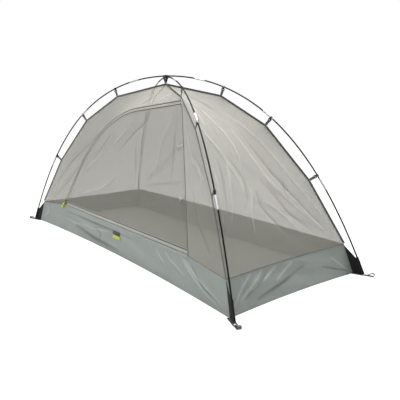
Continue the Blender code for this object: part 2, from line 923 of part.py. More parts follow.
def make_front_net():
    """The net round the door, from the left pan corner over the apex to the first right node."""
    # A second clearance leaves room beside the zip for the slanted end at the ridge.
    line = zip_line(zip_edge + clearance, clearance)[1:]
    inner = [door_point(*point, net_cloth / 2) for point in line]
    inner = along(inner, (leg_steps,) + (1,) * shoulder_steps + (head_steps,))
    rows = len(inner) - 1
    left, front = arms["left"], arms["front"]
    spans = rows - head_steps
    shared = tuple(spans // 4 + (1 if n < spans % 4 else 0) for n in range(4))
    up_left = ridge_points(left, False, 0, shared)[::-1]
    down_right = ridge_points(front, False, 0, (head_steps, 1, 1, 1))[: head_steps + 1]
    peak = Vector((0, -ridge_side / math.cos(diagonal_angle), ridge_apex))
    outer = np.concatenate([up_left[:-1], [peak], down_right[1:]])
    columns = net_side_columns // 2 + 1
    grid = np.zeros((rows + 1, columns + 1, 3))
    grid[:, 0] = outer
    grid[:, -1] = inner
    grid[0] = spread(pan_corner("left"), top_edge("front")[1], columns) + np.array(up * clearance)
    grid[0, 0] = outer[0] + np.array(up * clearance)
    grid[-1] = spread(outer[-1], inner[-1], columns)
    grid = harmonic(grid)
    normals = grid_normals(grid)
    normals[:, -1] = np.array(door_out)
    flatten(normals, np.s_[0], up)
    flatten(normals, np.s_[: len(up_left) - 1, 0], left.to_end)
    flatten(normals, np.s_[len(up_left) :, 0], front.to_end)
    flatten(normals, np.s_[-1], front.to_end)
    normals[len(up_left) - 1, 0] = np.array(up)
    sheet("front_net_panel", grid, grid - normals * net_cloth, netting)


def seam_line(aside, out, rows):
    """Points down a line on the right of the hinge axis, from beside the ridge to the sill."""
    front = arms["front"]
    way = door_side * seam_down.x + door_up * seam_down.y
    start = seam_head - seam_to_door * aside
    head = door_point(*start, out)
    clear = -ridge_side - seam_tape_thickness
    top = head + way * (clear - head.dot(front.to_end)) / way.dot(front.to_end)
    foot = crossing(start, seam_down, Vector((0, clearance)), Vector((1, 0)))
    return spread(top, door_point(*foot, out), rows)


def make_front_strip():
    """The narrow net between the hinge seam and the right ridge, with the seam's tape on its edge."""
    rows = 3 * net_rows_per_span
    far = seam_tape_setback + seam_tape_width
    seam_side = seam_line(far, net_cloth / 2, rows)
    front = arms["front"]
    start = np.linalg.norm(seam_side[0] - np.array(node_place))
    line = [Vector(point) for point in front.ridge()[1:]]
    line[0] = line[0] + (line[1] - line[0]).normalized() * start
    ridge_edge = along([front.place(*point, -ridge_side) for point in line], (net_rows_per_span,) * 3)
    columns = net_side_columns // 2
    grid = np.zeros((rows + 1, columns + 1, 3))
    grid[:, 0] = seam_side
    grid[:, -1] = ridge_edge
    grid[0] = spread(seam_side[0], ridge_edge[0], columns)
    grid[-1] = spread(top_edge("front")[2], pan_corner("front"), columns) + np.array(up * clearance)
    grid[-1, -1] = ridge_edge[-1] + np.array(up * clearance)
    grid = harmonic(grid)
    normals = grid_normals(grid)
    normals[:, 0] = np.array(door_out)
    flatten(normals, np.s_[-1], up)
    flatten(normals, np.s_[:, -1], front.to_end)
    inner = grid - normals * net_cloth
    edges = (seam_tape_setback, far - clearance)
    thick = seam_tape_thickness / 2
    outer_tape = [seam_line(edge, thick, rows) for edge in edges]
    inner_tape = [seam_line(edge, -thick, rows) for edge in edges]
    outer = np.concatenate([np.stack(outer_tape, axis=1), grid], axis=1)
    inner = np.concatenate([np.stack(inner_tape, axis=1), inner], axis=1)
    sheet("front_net_strip", outer, inner, netting)


def offset_line(points, distance):
    """A polyline moved square to itself, to its left for a positive distance."""
    moved = []
    ways = [(Vector(b) - Vector(a)).normalized() for a, b in zip(points, points[1:])]
    for n, point in enumerate(points):
        before = ways[max(n - 1, 0)]
        after = ways[min(n, len(ways) - 1)]
        square = Vector((-before.y - after.y, before.x + after.x)).normalized()
        lean = square.dot(Vector((-after.y, after.x)))
        moved.append(Vector(point) + square * distance / lean)
    return moved


def tape_outline(line):
    """Outline of a ridge tape along a polyline, cut short above the pan's corners."""
    line = [Vector(point) for point in line]
    for end, near in ((0, 1), (-1, -2)):
        line[end] = line[end] + (line[near] - line[end]).normalized() * ridge_tape_end
    return offset_line(line, ridge_tape_outer) + offset_line(line, -ridge_tape_inner)[::-1]


def make_ridge_tapes():
    """Upright binding along both ridges, sewn together where they cross."""
    tapes = []
    for name, arm, direction in (
        ("ridge_binding", arms["right"], upper_pole.direction),
        ("lower_ridge_binding", arms["front"], lower_pole.direction),
    ):
        line = arm.ridge()
        whole = [(-reach, height) for reach, height in line[:0:-1]] + line
        place = frame_at(Vector((0, 0, 0)), direction, up)
        tapes.append(plate(name, [tape_outline(whole)], ridge_tape_cloth, place, dark_tape))
    boolean(tapes[0], tapes[1], "UNION")


# Straps and hooks


def make_clip(arm, number, share):
    """A webbing strap, sewn to the ridge, with a plastic hook that holds the pole."""
    name = f"clip_{arm.name}_{number}"
    pole = arm.pole
    reach, height = pole.at(share * pole.half)
    along_reach, along_up = pole.outward(reach)
    out = arm.out * along_reach + up * along_up
    mouth = -arm.to_end
    centre = arm.place(reach, height)
    place = frame_at(centre, mouth, out)
    nearest = min(abs(share * pole.half - joint) for joint in pole.joints())
    held_radius = ferrule_radius if nearest < ferrule_length / 2 else rod_radius
    ring = (0, held_radius + clearance - hook_inner_radius)
    outer_radius = hook_inner_radius + hook_wall
    outline = arc_points(
        ring, outer_radius, hook_mouth_top_degrees, hook_mouth_bottom_degrees, hook_arc_steps
    ) + arc_points(
        ring, hook_inner_radius, hook_mouth_bottom_degrees, hook_mouth_top_degrees, hook_arc_steps
    )
    clip = plate(name, [outline], hook_width, place, black_plastic)
    shank_low = (-hook_plate_thickness / 2, -hook_plate_foot, -hook_plate_width / 2)
    shank_top = ring[1] - hook_inner_radius - hook_wall / 2
    shank_high = (hook_plate_thickness / 2, shank_top, hook_plate_width / 2)
    shank = box(f"{name}_shank", shank_low, shank_high, place, black_plastic, cutters)
    slot_half = strap_width / 2 + hook_slot_side_play
    slot_low = (-hook_plate_thickness, -hook_slot_foot, -slot_half)
    slot_high = (hook_plate_thickness, -hook_slot_head, slot_half)
    slot = box(f"{name}_slot", slot_low, slot_high, place, black_plastic, cutters)
    bar_height = -(hook_plate_foot + hook_slot_foot) / 2
    root_height = ridge_tape_outer + clearance + strap_ply - strap_reach
    root = centre + out * root_height
    length = bar_height - root_height
    side = [(strap_ply, length - strap_split)]
    side += arc_points((0, length), strap_loop_radius, 0, 180, 2 * loop_steps)
    side += [(-strap_ply, length - strap_split)]
    sewn = arc_points((0, 0), strap_ply, 180, 360, loop_steps) + side
    strap_place = frame_at(root, mouth, out)
    strap = plate(f"{name}_strap", [sewn], strap_width, strap_place, grey_webbing, cutters)
    boolean(clip, shank, "UNION")
    boolean(clip, slot, "DIFFERENCE")
    boolean(clip, strap, "UNION")
    settle_origin(clip, root)


def make_apex_strap():
    """A webbing loop round the crossing of the poles, closed to a tail on the ridge's apex."""
    foot = ridge_apex + ridge_tape_outer + 2 * clearance + apex_loop_foot + apex_strap_ply
    rise = pole_apex - foot
    aside = apex_strap_width / 2 * math.tan(diagonal_angle) + apex_loop_slack
    outlines = []
    for ply in (apex_strap_ply, 0):
        top, bottom = rod_radius + clearance + ply, apex_loop_foot + ply
        lean = math.atan2(rise, aside) - math.acos((bottom - top) / math.hypot(aside, rise))
        lean = math.degrees(lean)
        outline = arc_points((aside, rise), top, lean, 90, loop_steps)
        outline += arc_points((-aside, rise), top, 90, 180 - lean, loop_steps)
        outline += arc_points((0, 0), bottom, 180 - lean, 360 + lean, loop_steps)
        outlines.append(outline)
    place = frame_at(Vector((0, 0, foot)), Vector((0, 1, 0)), up)
    plate("apex_strap", outlines, apex_strap_width, place, grey_webbing)


# Sliders and pulls


def slider_frame(centre, way):
    """A frame on the zip: X across the coils, Y along the zip, Z out of the tent."""
    forward = (door_side * way.x + door_up * way.y).normalized()
    across = forward.cross(door_out)
    return frame_at(door_point(centre.x, centre.y, 0), across, forward)


def make_slider(name, place):
    """Two plates that hug the coils, joined by the post between them, with a bail on top."""
    face = coil_thickness / 2 + clearance
    lip = zip_tape_thickness / 2 + clearance
    web = slider_web / 2
    inner = slider_half_width - slider_lip
    quarter = [(web, face), (inner, face), (inner, lip), (slider_half_width, lip)]
    quarter.append((slider_half_width, face + slider_plate))
    right = [(x, -y) for x, y in quarter[::-1]] + quarter
    outline = right + [(-x, -y) for x, y in right]
    turn = Matrix.Rotation(math.radians(90), 4, "X")
    body = plate(name, [outline], slider_length, place @ turn, black_plastic)
    top = face + slider_plate
    half = bail_length / 2
    arch = [(-half, top - slider_plate / 2), (half, top - slider_plate / 2)]
    arch += [(half, top + bail_clear_height), (half - bail_wall, top + bail_clear_height + bail_wall)]
    arch += [(-half + bail_wall, top + bail_clear_height + bail_wall), (-half, top + bail_clear_height)]
    hollow = half - bail_wall
    sunk = top - slider_plate / 4
    window = [(-hollow, sunk), (hollow, sunk), (hollow, top + bail_clear_height)]
    window.append((-hollow, top + bail_clear_height))
    side_place = place @ Matrix(((0, 0, 1, 0), (1, 0, 0, 0), (0, 1, 0, 0), (0, 0, 0, 1)))
    bail = plate(f"{name}_bail", [arch, window], bail_width, side_place, black_plastic)
    boolean(body, bail, "UNION", "MANIFOLD")
    settle_origin(body, place.translation)
    return top + bail_clear_height / 2


def make_sliders():
    line = zip_line(0, clearance)
    corner = line[1]
    gap = slider_length / 2 + slider_rest_gap
    leg_place = slider_frame(corner + leg_way * gap, leg_way)
    level = make_slider("leg_slider", leg_place)
    outer_radius = pull_inner_radius + pull_strand
    outer = belt(outer_radius, outer_radius, pull_loop_length)
    inner = belt(pull_inner_radius, pull_inner_radius, pull_loop_length)
    hang = Matrix.Translation(up * level) @ Matrix.Rotation(math.pi, 4, "X")
    shift = Matrix.Translation((0, pull_inner_radius + pull_strand / 2, 0))
    cord = plate("leg_pull", [outer, inner], pull_strand, leg_place @ hang @ shift, lime_cord)
    settle_origin(cord, leg_place @ (up * level))
    sill_place = slider_frame(corner + Vector((gap, 0)), Vector((-1, 0)))
    level = make_slider("sill_slider", sill_place)
    half = tab_width / 2
    head = tab_thickness / 2
    eye_half = tab_eye_width / 2
    outline = [(-half, head), (-half, half - tab_length), (-eye_half, -tab_length)]
    outline += [(eye_half, -tab_length), (half, half - tab_length), (half, head)]
    eye = [(-eye_half, -head), (eye_half, -head)]
    eye += [(eye_half, -head - tab_eye_length), (-eye_half, -head - tab_eye_length)]
    tab_place = sill_place @ Matrix.Translation(up * level)
    tab = plate("sill_pull", [outline, eye], tab_thickness, tab_place, black_plastic)
    settle_origin(tab, sill_place @ (up * level))


def make_tiebacks():
    """Tabs sewn to the door beside its hinge seam, each with a toggle that ties the rolled door."""
    seam_length = (seam_foot - seam_head).length
    door_way = door_side * seam_to_door.x + door_up * seam_to_door.y
    along_seam = door_side * seam_down.x + door_up * seam_down.y
    far = toggle_radius + tieback_ply
    lean = math.asin((far - tieback_ply) / tieback_length)
    way = door_way * math.cos(lean) + door_out * math.sin(lean)
    for name, share in zip(("upper", "lower"), tieback_shares):
        spot = seam_head + seam_down * seam_length * share + seam_to_door * tieback_setback
        root = door_point(*spot, net_cloth / 2 + clearance + tieback_ply)
        place = frame_at(root, way.cross(along_seam), way)
        outline = belt(tieback_ply, far, tieback_length)
        tab = plate(f"tieback_{name}", [outline], tieback_width, place, pale_webbing)
        middle = root + way * tieback_length
        ends = [middle - along_seam * toggle_length / 2, middle + along_seam * toggle_length / 2]
        radii = [toggle_radius] * 2
        toggle = tube(f"toggle_{name}", ends, radii, pale_webbing, cutters)
        boolean(tab, toggle, "UNION")
        settle_origin(tab, root)


# Corners


def make_gusset(arm):
    """Black cloth from the pan's corner to the pole, with a sleeve round the pole's foot."""
    pole = arm.pole
    head = pan_height - gusset_head_drop
    foot = pan_floor + clearance
    seat = (sleeve_radius + sleeve_bore_radius) / 2
    outline = [
        (corner_line(foot) + clearance, foot),
        (tip_ground_reach(arm) - gusset_foot_setback, foot),
    ]
    middle = (sleeve_head_height + rod_end_height) / 2
    for height in (rod_end_height + sleeve_radius, middle, sleeve_head_height - sleeve_radius):
        reach = pole.at_height(height)
        along_reach, along_up = pole.outward(reach)
        outline.append((reach - seat * along_reach, height - seat * along_up))
    outline.append((corner_line(head) + clearance, head))
    plane = frame_at(Vector((0, 0, 0)), arm.out, up)
    name = f"corner_gusset_{arm.name}"
    heights = (sleeve_head_height, middle, rod_end_height)
    path = [arm.place(pole.at_height(height), height) for height in heights]
    pipe = tube(name, path, [sleeve_radius] * 3, black_cloth)
    above = path[0] + (path[0] - path[1]).normalized() * cut_overrun
    below = path[2] + (path[2] - path[1]).normalized() * cut_overrun
    bore_path = [above] + path + [below]
    bore = tube(f"{name}_bore", bore_path, [sleeve_bore_radius] * 5, black_cloth, cutters)
    web = plate(f"{name}_web", [outline], gusset_cloth, plane, black_cloth, cutters)
    boolean(pipe, bore, "DIFFERENCE", "MANIFOLD")
    boolean(pipe, web, "UNION", "MANIFOLD")


def make_corner_webbing(arm):
    """Webbing sewn to the floor's corner, with the grommet that the pole's tip stands in."""
    ground = tip_ground_reach(arm)
    start = corner_reach - floor_corner_cut + clearance
    end = ground + webbing_tail
    half = webbing_width / 2
    plane = frame_at(Vector((0, 0, 0)), arm.out, arm.to_end)
    name = f"corner_webbing_{arm.name}"
    low = (start, -half, 0)
    high = (end, half, webbing_cloth)
    if arm.out.cross(arm.to_end).z < 0:
        low, high = (start, -half, -webbing_cloth), (end, half, 0)
    tail = box(name, low, high, plane, grey_webbing)
    spot = Matrix.Translation(arm.place(ground, 0))
    rim_low, rim_high = webbing_cloth / 2, webbing_cloth + grommet_flange_height
    rim = disc(f"{name}_rim", grommet_flange_radius, rim_low, rim_high, spot, bright_metal, cutters)
    bore_low, bore_high = -cut_overrun, cut_overrun
    bore = disc(f"{name}_bore", grommet_bore_radius, bore_low, bore_high, spot, bright_metal, cutters)
    boolean(tail, rim, "UNION")
    boolean(tail, bore, "DIFFERENCE")
    root_radius = peg_loop_root_radius + peg_loop_ply
    far = peg_loop_radius + peg_loop_ply
    root = arm.place(end + clearance + root_radius, root_radius + clearance)
    rise = math.asin((far - root_radius) / peg_loop_length)
    way = arm.out * math.cos(rise) + up * math.sin(rise)
    outer = belt(root_radius, far, peg_loop_length)
    inner = belt(peg_loop_root_radius, peg_loop_radius, peg_loop_length)
    place = frame_at(root, way.cross(arm.to_end), way)
    loop = plate(f"peg_loop_{arm.name}", [outer, inner], peg_loop_width, place, grey_webbing)
    settle_origin(loop, root)


def wall_depth(grid, x, rise):
    """y of a wall's outer surface at one x and one height."""
    heights = [np.interp(x, line[:, 0], line[:, 2]) for line in grid]
    depths = [np.interp(x, line[:, 0], line[:, 1]) for line in grid]
    return float(np.interp(rise, heights, depths))


def make_tag():
    """A plain tag, sewn flat to the front wall."""
    grid, _ = wall_grid("front")
    half = tag_width / 2
    asides = np.linspace(-half, half, pan_rows)
    spots = [
        Vector((0, min(wall_depth(grid, tag_centre_x + aside, rise) for aside in asides), rise))
        for rise in np.linspace(tag_rise - tag_height / 2, tag_rise + tag_height / 2, pan_rows)
    ]
    way = (spots[-1] - spots[0]).normalized()
    out = door_side.cross(way)
    furthest = max((spot - spots[0]).dot(out) for spot in spots)
    origin = spots[0] + out * (furthest + tag_standoff + tag_thickness / 2)
    place = frame_at(origin + door_side * tag_centre_x, door_side, way)
    outline = [(-half, 0), (half, 0), (half, tag_height), (-half, tag_height)]
    plate("side_tag", [outline], tag_thickness, place, tag_cloth)


def main():
    clear_scene()
    make_pan()
    make_pole(upper_pole, arms["left"], arms["right"])
    make_pole(lower_pole, arms["rear"], arms["front"])
    make_ridge_tapes()
    make_front_net()
    make_front_strip()
    panel("rear_net_panel", arms["rear"], arms["right"], "rear")
    panel("left_net_panel", arms["left"], arms["rear"], "left")
    panel("right_net_panel", arms["front"], arms["right"], "right")
    make_door()
    make_sliders()
    make_tiebacks()
    make_apex_strap()
    for arm in arms.values():
        for number, share in enumerate(clip_shares, 1):
            make_clip(arm, number, share)
        make_gusset(arm)
        make_corner_webbing(arm)
    make_tag()


main()
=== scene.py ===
"""Looks of a one-person mosquito net tent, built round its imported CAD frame.

Metres, +Z up, in the frame of the CAD part: the origin is on the ground under the
middle of the floor, +X runs along the long side, and the door faces -Y.
"""

import math

import bmesh
import bpy
import numpy as np
from mathutils import Matrix, Vector


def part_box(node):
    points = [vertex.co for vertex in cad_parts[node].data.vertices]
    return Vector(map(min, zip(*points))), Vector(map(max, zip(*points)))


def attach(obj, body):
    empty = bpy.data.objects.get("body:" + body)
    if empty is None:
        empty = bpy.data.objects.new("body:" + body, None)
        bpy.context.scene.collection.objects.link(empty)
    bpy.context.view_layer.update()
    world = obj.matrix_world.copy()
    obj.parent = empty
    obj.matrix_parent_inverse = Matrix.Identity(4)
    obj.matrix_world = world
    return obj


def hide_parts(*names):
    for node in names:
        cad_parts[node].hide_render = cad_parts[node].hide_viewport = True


bl_info = {
    "name": "Mosquito net tent",
    "version": (1, 0, 0),
    "blender": (4, 5, 0),
    "location": "3D View > Sidebar > Net tent",
    "description": "Dresses the frame of a one-person mosquito net tent",
    "category": "Object",
}

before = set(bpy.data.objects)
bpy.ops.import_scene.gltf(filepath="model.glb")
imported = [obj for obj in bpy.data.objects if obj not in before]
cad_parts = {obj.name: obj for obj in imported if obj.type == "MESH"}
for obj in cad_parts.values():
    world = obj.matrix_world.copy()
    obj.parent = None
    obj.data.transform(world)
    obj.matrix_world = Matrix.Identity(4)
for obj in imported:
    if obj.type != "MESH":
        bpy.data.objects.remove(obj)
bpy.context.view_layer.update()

# The CAD part's own values: the tent, its pan and its cloths
millimetre = 0.001
clearance = 0.0003
half_length = 1.10
half_width = 0.44
floor_cloth = 0.0012
pan_cloth = 0.0010
net_cloth = 0.0008
webbing_cloth = 0.0012
pan_floor = floor_cloth + clearance
pan_height = 0.153
pan_corner_lean = 0.056
floor_side_bow = 0.045
floor_end_bow = 0.018
back_edge_bow = 0.030
back_edge_rise = 0.020
end_edge_bow = 0.016
pan_fold_depth = 0.005
pan_folds = {"front": 4, "rear": 4, "left": 2, "right": 2}
pan_fold_slant = 1.2
edge_stations = 8
hem_width = 0.012
hem_bulge = 0.0045
hem_stitch_drop = 0.0125
piping_lift = 0.0002
corner_seam_radius = 0.0011
corner_seam_lift = 0.0006
floor_crumple = 0.0035

# Poles
rods_per_pole = 7
rod_radius = 0.0040
rod_end_height = 0.040
pole_drop_shares = (0.614, 0.386)
ferrule_radius = 0.0049
ferrule_length = 0.070
upper_apex = 1.053
lower_apex = upper_apex - 2 * rod_radius - clearance
tip_ground_gap = 0.0009
tip_ball_radius = 0.0026
tip_neck_radius = 0.0022
tip_collar_radius = 0.0043
grommet_bore_radius = 0.0058
grommet_flange_radius = 0.0100

# Ridges and what hangs them
ridge_apex = upper_apex - 0.053
strap_reach = 0.058
clip_shares = (0.241, 0.4424, 0.682)
ridge_tape_cloth = 0.0016
ridge_tape_outer = 0.010
ridge_tape_inner = 0.002
ridge_tape_end = 0.004
ridge_side = ridge_tape_cloth / 2 + clearance
ridge_stitch_levels = (0.0005, 0.0085)
ridge_tape_step = 0.03
tape_corner = 0.0005
stitch_share = 0.72
ply_corner = 0.0003
panel_seam_radius = 0.0008
net_start = 0.014
net_fold_depth = 0.006
net_end_folds = 3
hook_inner_radius = 0.0056
hook_wall = 0.0022
hook_width = 0.012
hook_mouth = (78, 292)
hook_plate_width = 0.020
hook_plate_thickness = 0.0030
hook_plate_foot = 0.0205
hook_slot = (0.0168, 0.0140)
strap_width = 0.015
strap_ply = 0.0009
strap_loop_radius = 0.0033
strap_split = 0.011
strap_stitch_foot = 0.004
strap_stitch_inset = 0.002
apex_strap_width = 0.026
apex_strap_ply = 0.0015
apex_loop_slack = 0.0035
apex_loop_foot = 0.0006
apex_loop_knee = 0.004
apex_stitch_rise = 0.006

# Door and zip
sill_height = 0.170
sill_inset = 0.055
seam_foot_x = 0.730
door_head_drop = 0.029
shoulder_place = (-0.504, 0.670)
door_toe_x = -0.747
shoulder_radius = 0.69
coil_outer = 0.0034
coil_middle = 0.0020
zip_outer = coil_outer + 0.012
zip_edge = zip_outer + clearance
zip_tape_inner = coil_outer - 0.0010
zip_tape_thickness = 0.0012
zip_tape_steps = (0.0050, 0.0125)
hem_line_lift = 0.0004
frame_seam_gap = 0.0035
door_seam_gap = 0.0020
coil_turn = (1.1, 0.0029, 0.0025)
hem_line = (0.0090, 0.0024)
seam_setback = 0.0010
seam_width = 0.005
seam_thickness = 0.0014
slider_gap = 0.018
pull_level = 0.00545
pull_strand = 0.0026
pull_inner_radius = 0.0018
pull_loop_length = 0.052
pull_grip = (0.017, 0.011)
pull_grip_lift = 0.0015
pull_grip_corner = 0.0035
pull_grip_steps = (0.018, 0.021, 0.051, 0.054)
tab_bevel = 0.00025
slider_bevel = 0.00018
tieback_shares = (0.324, 0.655)
tieback_width = 0.014
tieback_length = 0.034
tieback_ply = 0.0009
tieback_setback = 0.0030
toggle_radius = 0.0026
toggle_length = 0.026

# Corners and tag
gusset_head_drop = 0.005
sleeve_head_height = 0.093
sleeve_radius = 0.0062
sleeve_bore_radius = 0.0049
sleeve_pucker = 0.035
gusset_cloth = 0.0012
gusset_ripple = 0.0016
sleeve_foot_height = 0.006
floor_corner_cut = 0.0086
webbing_width = 0.025
webbing_tail = 0.014
webbing_stitch_inset = 0.003
peg_loop_width = 0.020
peg_loop_length = 0.030
peg_loop_radius = 0.0075
peg_loop_root_radius = 0.0004
peg_loop_ply = 0.0012
tag_centre_x = 0.022
tag_width = 0.086
tag_height = 0.046
tag_thickness = 0.0010
tag_stitch_inset = 0.0025
peg_loop_corner = 0.0004

corner_reach = math.hypot(half_length, half_width)
diagonal_angle = math.atan2(half_width, half_length)
rod_reach = corner_reach + 0.041
pan_corner_reach = corner_reach - pan_corner_lean
up = Vector((0, 0, 1))

# The camera and the light
photo_camera = ((2.4913, -1.7026, 0.8992), (78.345, 0.0, 51.649))
photo_lens = 42.888
background_white = 1.0
sky_light = 0.06
floor_glow = 0.80
floor_white = 1.25
lamp_aim = Vector((0, 0, 0.4))
studio_lamps = (
    ("key_lamp", (0.6, -4.6, 3.8), 3.0, 112.0),
    ("top_lamp", (-0.4, 0.5, 4.8), 3.0, 330.0),
    ("back_lamp", (1.0, 4.2, 4.2), 3.0, 120.0),
)

# Share of the light that the net stops between its yarns and at them, and what a fold adds
net_cover = (0.46, 0.68)
fold_cover = 0.2

finishes = {}
trees = {}


def to_linear(code):
    """A "#rrggbb" colour as linear red, green and blue."""
    parts = [int(code[n : n + 2], 16) / 255 for n in (1, 3, 5)]
    return [p / 12.92 if p <= 0.04045 else ((p + 0.055) / 1.055) ** 2.4 for p in parts]


def colour_property(name, description, code):
    return bpy.props.FloatVectorProperty(
        name=name, description=description, subtype="COLOR", size=3, min=0, max=1, default=to_linear(code)
    )


def length_property(name, description, metres):
    return bpy.props.FloatProperty(
        name=name, description=description, default=metres, min=0.0001, max=0.1, unit="LENGTH"
    )


class TentColours(bpy.types.PropertyGroup):
    """Colours of the tent's cloths, cords and fittings."""

    netting: colour_property("Netting", "Warm grey of the net's yarn", "#a3a196")
    pan: colour_property("Pan cloth", "Silver grey coating of the pan", "#929995")
    floor: colour_property("Floor cloth", "Coating on the inside of the floor", "#868a85")
    binding: colour_property("Binding", "Tape round the ridges and edges", "#5f605b")
    zip_tape: colour_property("Zip tape", "Woven tape of the zip", "#c2c2b9")
    zip_coil: colour_property("Zip coil", "Nylon coil of the zip", "#bcbcb4")
    strap: colour_property("Strap webbing", "Clip straps and corner webbing", "#707173")
    dark_strap: colour_property("Dark webbing", "Loop at the crossing of the poles", "#4c4d4e")
    black_cloth: colour_property("Corner cloth", "Gussets and sleeves at the corners", "#0f0f11")
    rod: colour_property("Rod", "Pigmented resin of the rods", "#0b0b0d")
    plastic: colour_property("Plastic", "Moulded hooks and sliders", "#1d1d1f")
    lime: colour_property("Lime cord", "Pull of the zip", "#c5dc2b")
    pale_strap: colour_property("Pale webbing", "Tabs and toggles of the door", "#c3c3bb")
    tag: colour_property("Tag", "Upper part of the sewn tag", "#33363a")
    thread: colour_property("Thread", "Sewing thread", "#77786f")


class TentSizes(bpy.types.PropertyGroup):
    """Sizes of what is sewn, knitted or pulled into folds."""

    net_crease: length_property("Net crease", "Height of a tension fold in the net", 0.0052)
    pan_crease: length_property("Pan crease", "Height of a crease in the pan", 0.0038)
    net_mesh: length_property("Net mesh", "Distance between the drawn yarns of the net", 0.0030)
    stitch_pitch: length_property("Stitch pitch", "Distance from stitch to stitch", 0.0045)
    stitch_width: length_property("Stitch width", "Width of a stitch", 0.0007)
    coil_pitch: length_property("Coil pitch", "Distance between drawn turns of the zip's coil", 0.0026)
    piping: length_property("Piping", "Radius of the piping on the pan's edges", 0.0013)


# Shaders


def feed(node, sockets):
    """Sets a node's inputs to values, or links them. A node stands for its first live output."""
    for socket, value in dict(sockets).items():
        if isinstance(value, bpy.types.Node):
            value = next(output for output in value.outputs if output.enabled)
        if isinstance(value, bpy.types.NodeSocket):
            node.id_data.links.new(value, node.inputs[socket])
        else:
            node.inputs[socket].default_value = value
    return node


def add_node(tree, kind, sockets=(), **settings):
    """Adds a node, sets its properties, and sets or feeds its input sockets."""
    node = tree.nodes.new(kind)
    for name, value in settings.items():
        setattr(node, name, value)
    return feed(node, sockets)


def new_finish(name, roughness, metallic=0.0, **sockets):
    """A material with its shader's constants set on the shader itself."""
    material = bpy.data.materials.new(name)
    material.use_nodes = True
    shader = material.node_tree.nodes["Principled BSDF"]
    feed(shader, {"Roughness": roughness, "Metallic": metallic})
    feed(shader, {socket.replace("_", " "): value for socket, value in sockets.items()})
    return material, material.node_tree, shader


def mottle(tree, colour, share, size):
    """The colour, lighter and darker by a share in soft patches of a size in metres."""
    place = add_node(tree, "ShaderNodeTexCoord").outputs["Object"]
    patches = {"Vector": place, "Scale": 1 / size, "Detail": 3.0, "Roughness": 0.55}
    tones = {
        "Factor": add_node(tree, "ShaderNodeTexNoise", patches),
        "A": (*[c * (1 - share) for c in colour], 1),
        "B": (*[min(1, c * (1 + share)) for c in colour], 1),
    }
    return add_node(tree, "ShaderNodeMix", tones, data_type="RGBA")


def waves(tree, across, pitch, slant=0.0):
    """A sine wave along one axis of the UV map, from -1 to 1, with a pitch in metres."""
    place = add_node(tree, "ShaderNodeTexCoord").outputs["UV"]
    parts = add_node(tree, "ShaderNodeSeparateXYZ", {"Vector": place}).outputs
    first, second = parts[across], parts["Y" if across == "X" else "X"]
    sloped = add_node(tree, "ShaderNodeMath", {0: second, 1: slant, 2: first}, operation="MULTIPLY_ADD")
    turns = add_node(tree, "ShaderNodeMath", {0: sloped, 1: 2 * math.pi / pitch}, operation="MULTIPLY")
    return add_node(tree, "ShaderNodeMath", {0: turns}, operation="SINE")


def crossed(tree, first, second):
    """Two sets of yarns laid across each other, each with its axis, its pitch and its slant."""
    yarns = {0: waves(tree, *first), 1: waves(tree, *second)}
    return add_node(tree, "ShaderNodeMath", yarns, operation="MULTIPLY")


def paint_fold_shade_and_highlight(tree, shader, darkest, lightest):
    """Scales the colour by the mesh's "fold" attribute, from -1 in a furrow to 1 on a crest. This is painted
    shade in the furrows and a painted highlight on the crests.
    """
    fold = add_node(tree, "ShaderNodeAttribute", attribute_name="fold").outputs["Fac"]
    reach = {"Value": fold, "From Min": -1.0, "From Max": 1.0, "To Min": darkest, "To Max": lightest}
    base = shader.inputs["Base Color"].links[0].from_socket
    shade = {0: base, "Scale": add_node(tree, "ShaderNodeMapRange", reach)}
    feed(shader, {"Base Color": add_node(tree, "ShaderNodeVectorMath", shade, operation="SCALE")})
    return fold


def coated_cloth(name, colour, roughness, pitch=0.0022):
    """Polyester taffeta with a polyurethane coat: a tight plain weave under a thin skin, which gives a soft
    sheen. Its creases carry painted light: a painted highlight on the crests and painted shade in the
    furrows."""
    material, tree, shader = new_finish(name, roughness, Coat_Weight=0.12, Coat_Roughness=0.35)
    feed(shader, {"Base Color": mottle(tree, colour, 0.05, 0.12)})
    # Painted highlight on the crests of the creases and painted shade in their furrows
    paint_fold_shade_and_highlight(tree, shader, 0.4, 1.6)
    # The real yarns lie 0.15 mm apart. They are drawn at 2.2 mm so that they show.
    weave = crossed(tree, ("X", pitch), ("Y", pitch))
    solid = add_node(tree, "ShaderNodeTexCoord").outputs["Object"]
    crumple = {"Vector": solid, "Scale": 16.0, "Detail": 5.0, "Distortion": 0.6}
    height = {0: weave, 1: 0.02, 2: add_node(tree, "ShaderNodeTexNoise", crumple)}
    height = add_node(tree, "ShaderNodeMath", height, operation="MULTIPLY_ADD")
    relief = {"Height": height, "Distance": 0.010, "Strength": 0.55}
    feed(shader, {"Normal": add_node(tree, "ShaderNodeBump", relief)})
    return material


def netting_cloth(name, colour, pitch):
    """Knitted polyester net: matt yarns round small holes, so half of what is behind shows."""
    material, tree, shader = new_finish(name, 0.85, Sheen_Weight=0.15, Specular_IOR_Level=0.25)
    feed(shader, {"Base Color": mottle(tree, colour, 0.05, 0.25)})
    # The real holes are 1 mm wide. They are drawn 3 mm apart, slanted as knitted net is.
    holes = crossed(tree, ("X", pitch, 0.58), ("X", pitch, -0.58))
    reach = {"Value": holes, "From Min": -0.5, "From Max": 0.5}
    cover = add_node(tree, "ShaderNodeMapRange", {**reach, "To Min": net_cover[1], "To Max": net_cover[0]})
    # A fold lays the net on itself: it covers more there. Raised folds also get a painted highlight and
    # sunken ones painted shade.
    doubled = add_node(tree, "ShaderNodeMath", {0: paint_fold_shade_and_highlight(tree, shader, 0.62, 1.38)}, operation="ABSOLUTE")
    alpha = add_node(tree, "ShaderNodeMath", {0: doubled, 1: fold_cover, 2: cover}, operation="MULTIPLY_ADD")
    relief = add_node(tree, "ShaderNodeBump", {"Height": holes, "Distance": 0.0004, "Strength": 0.3})
    feed(shader, {"Alpha": alpha, "Normal": relief})
    material.surface_render_method = "BLENDED"
    return material


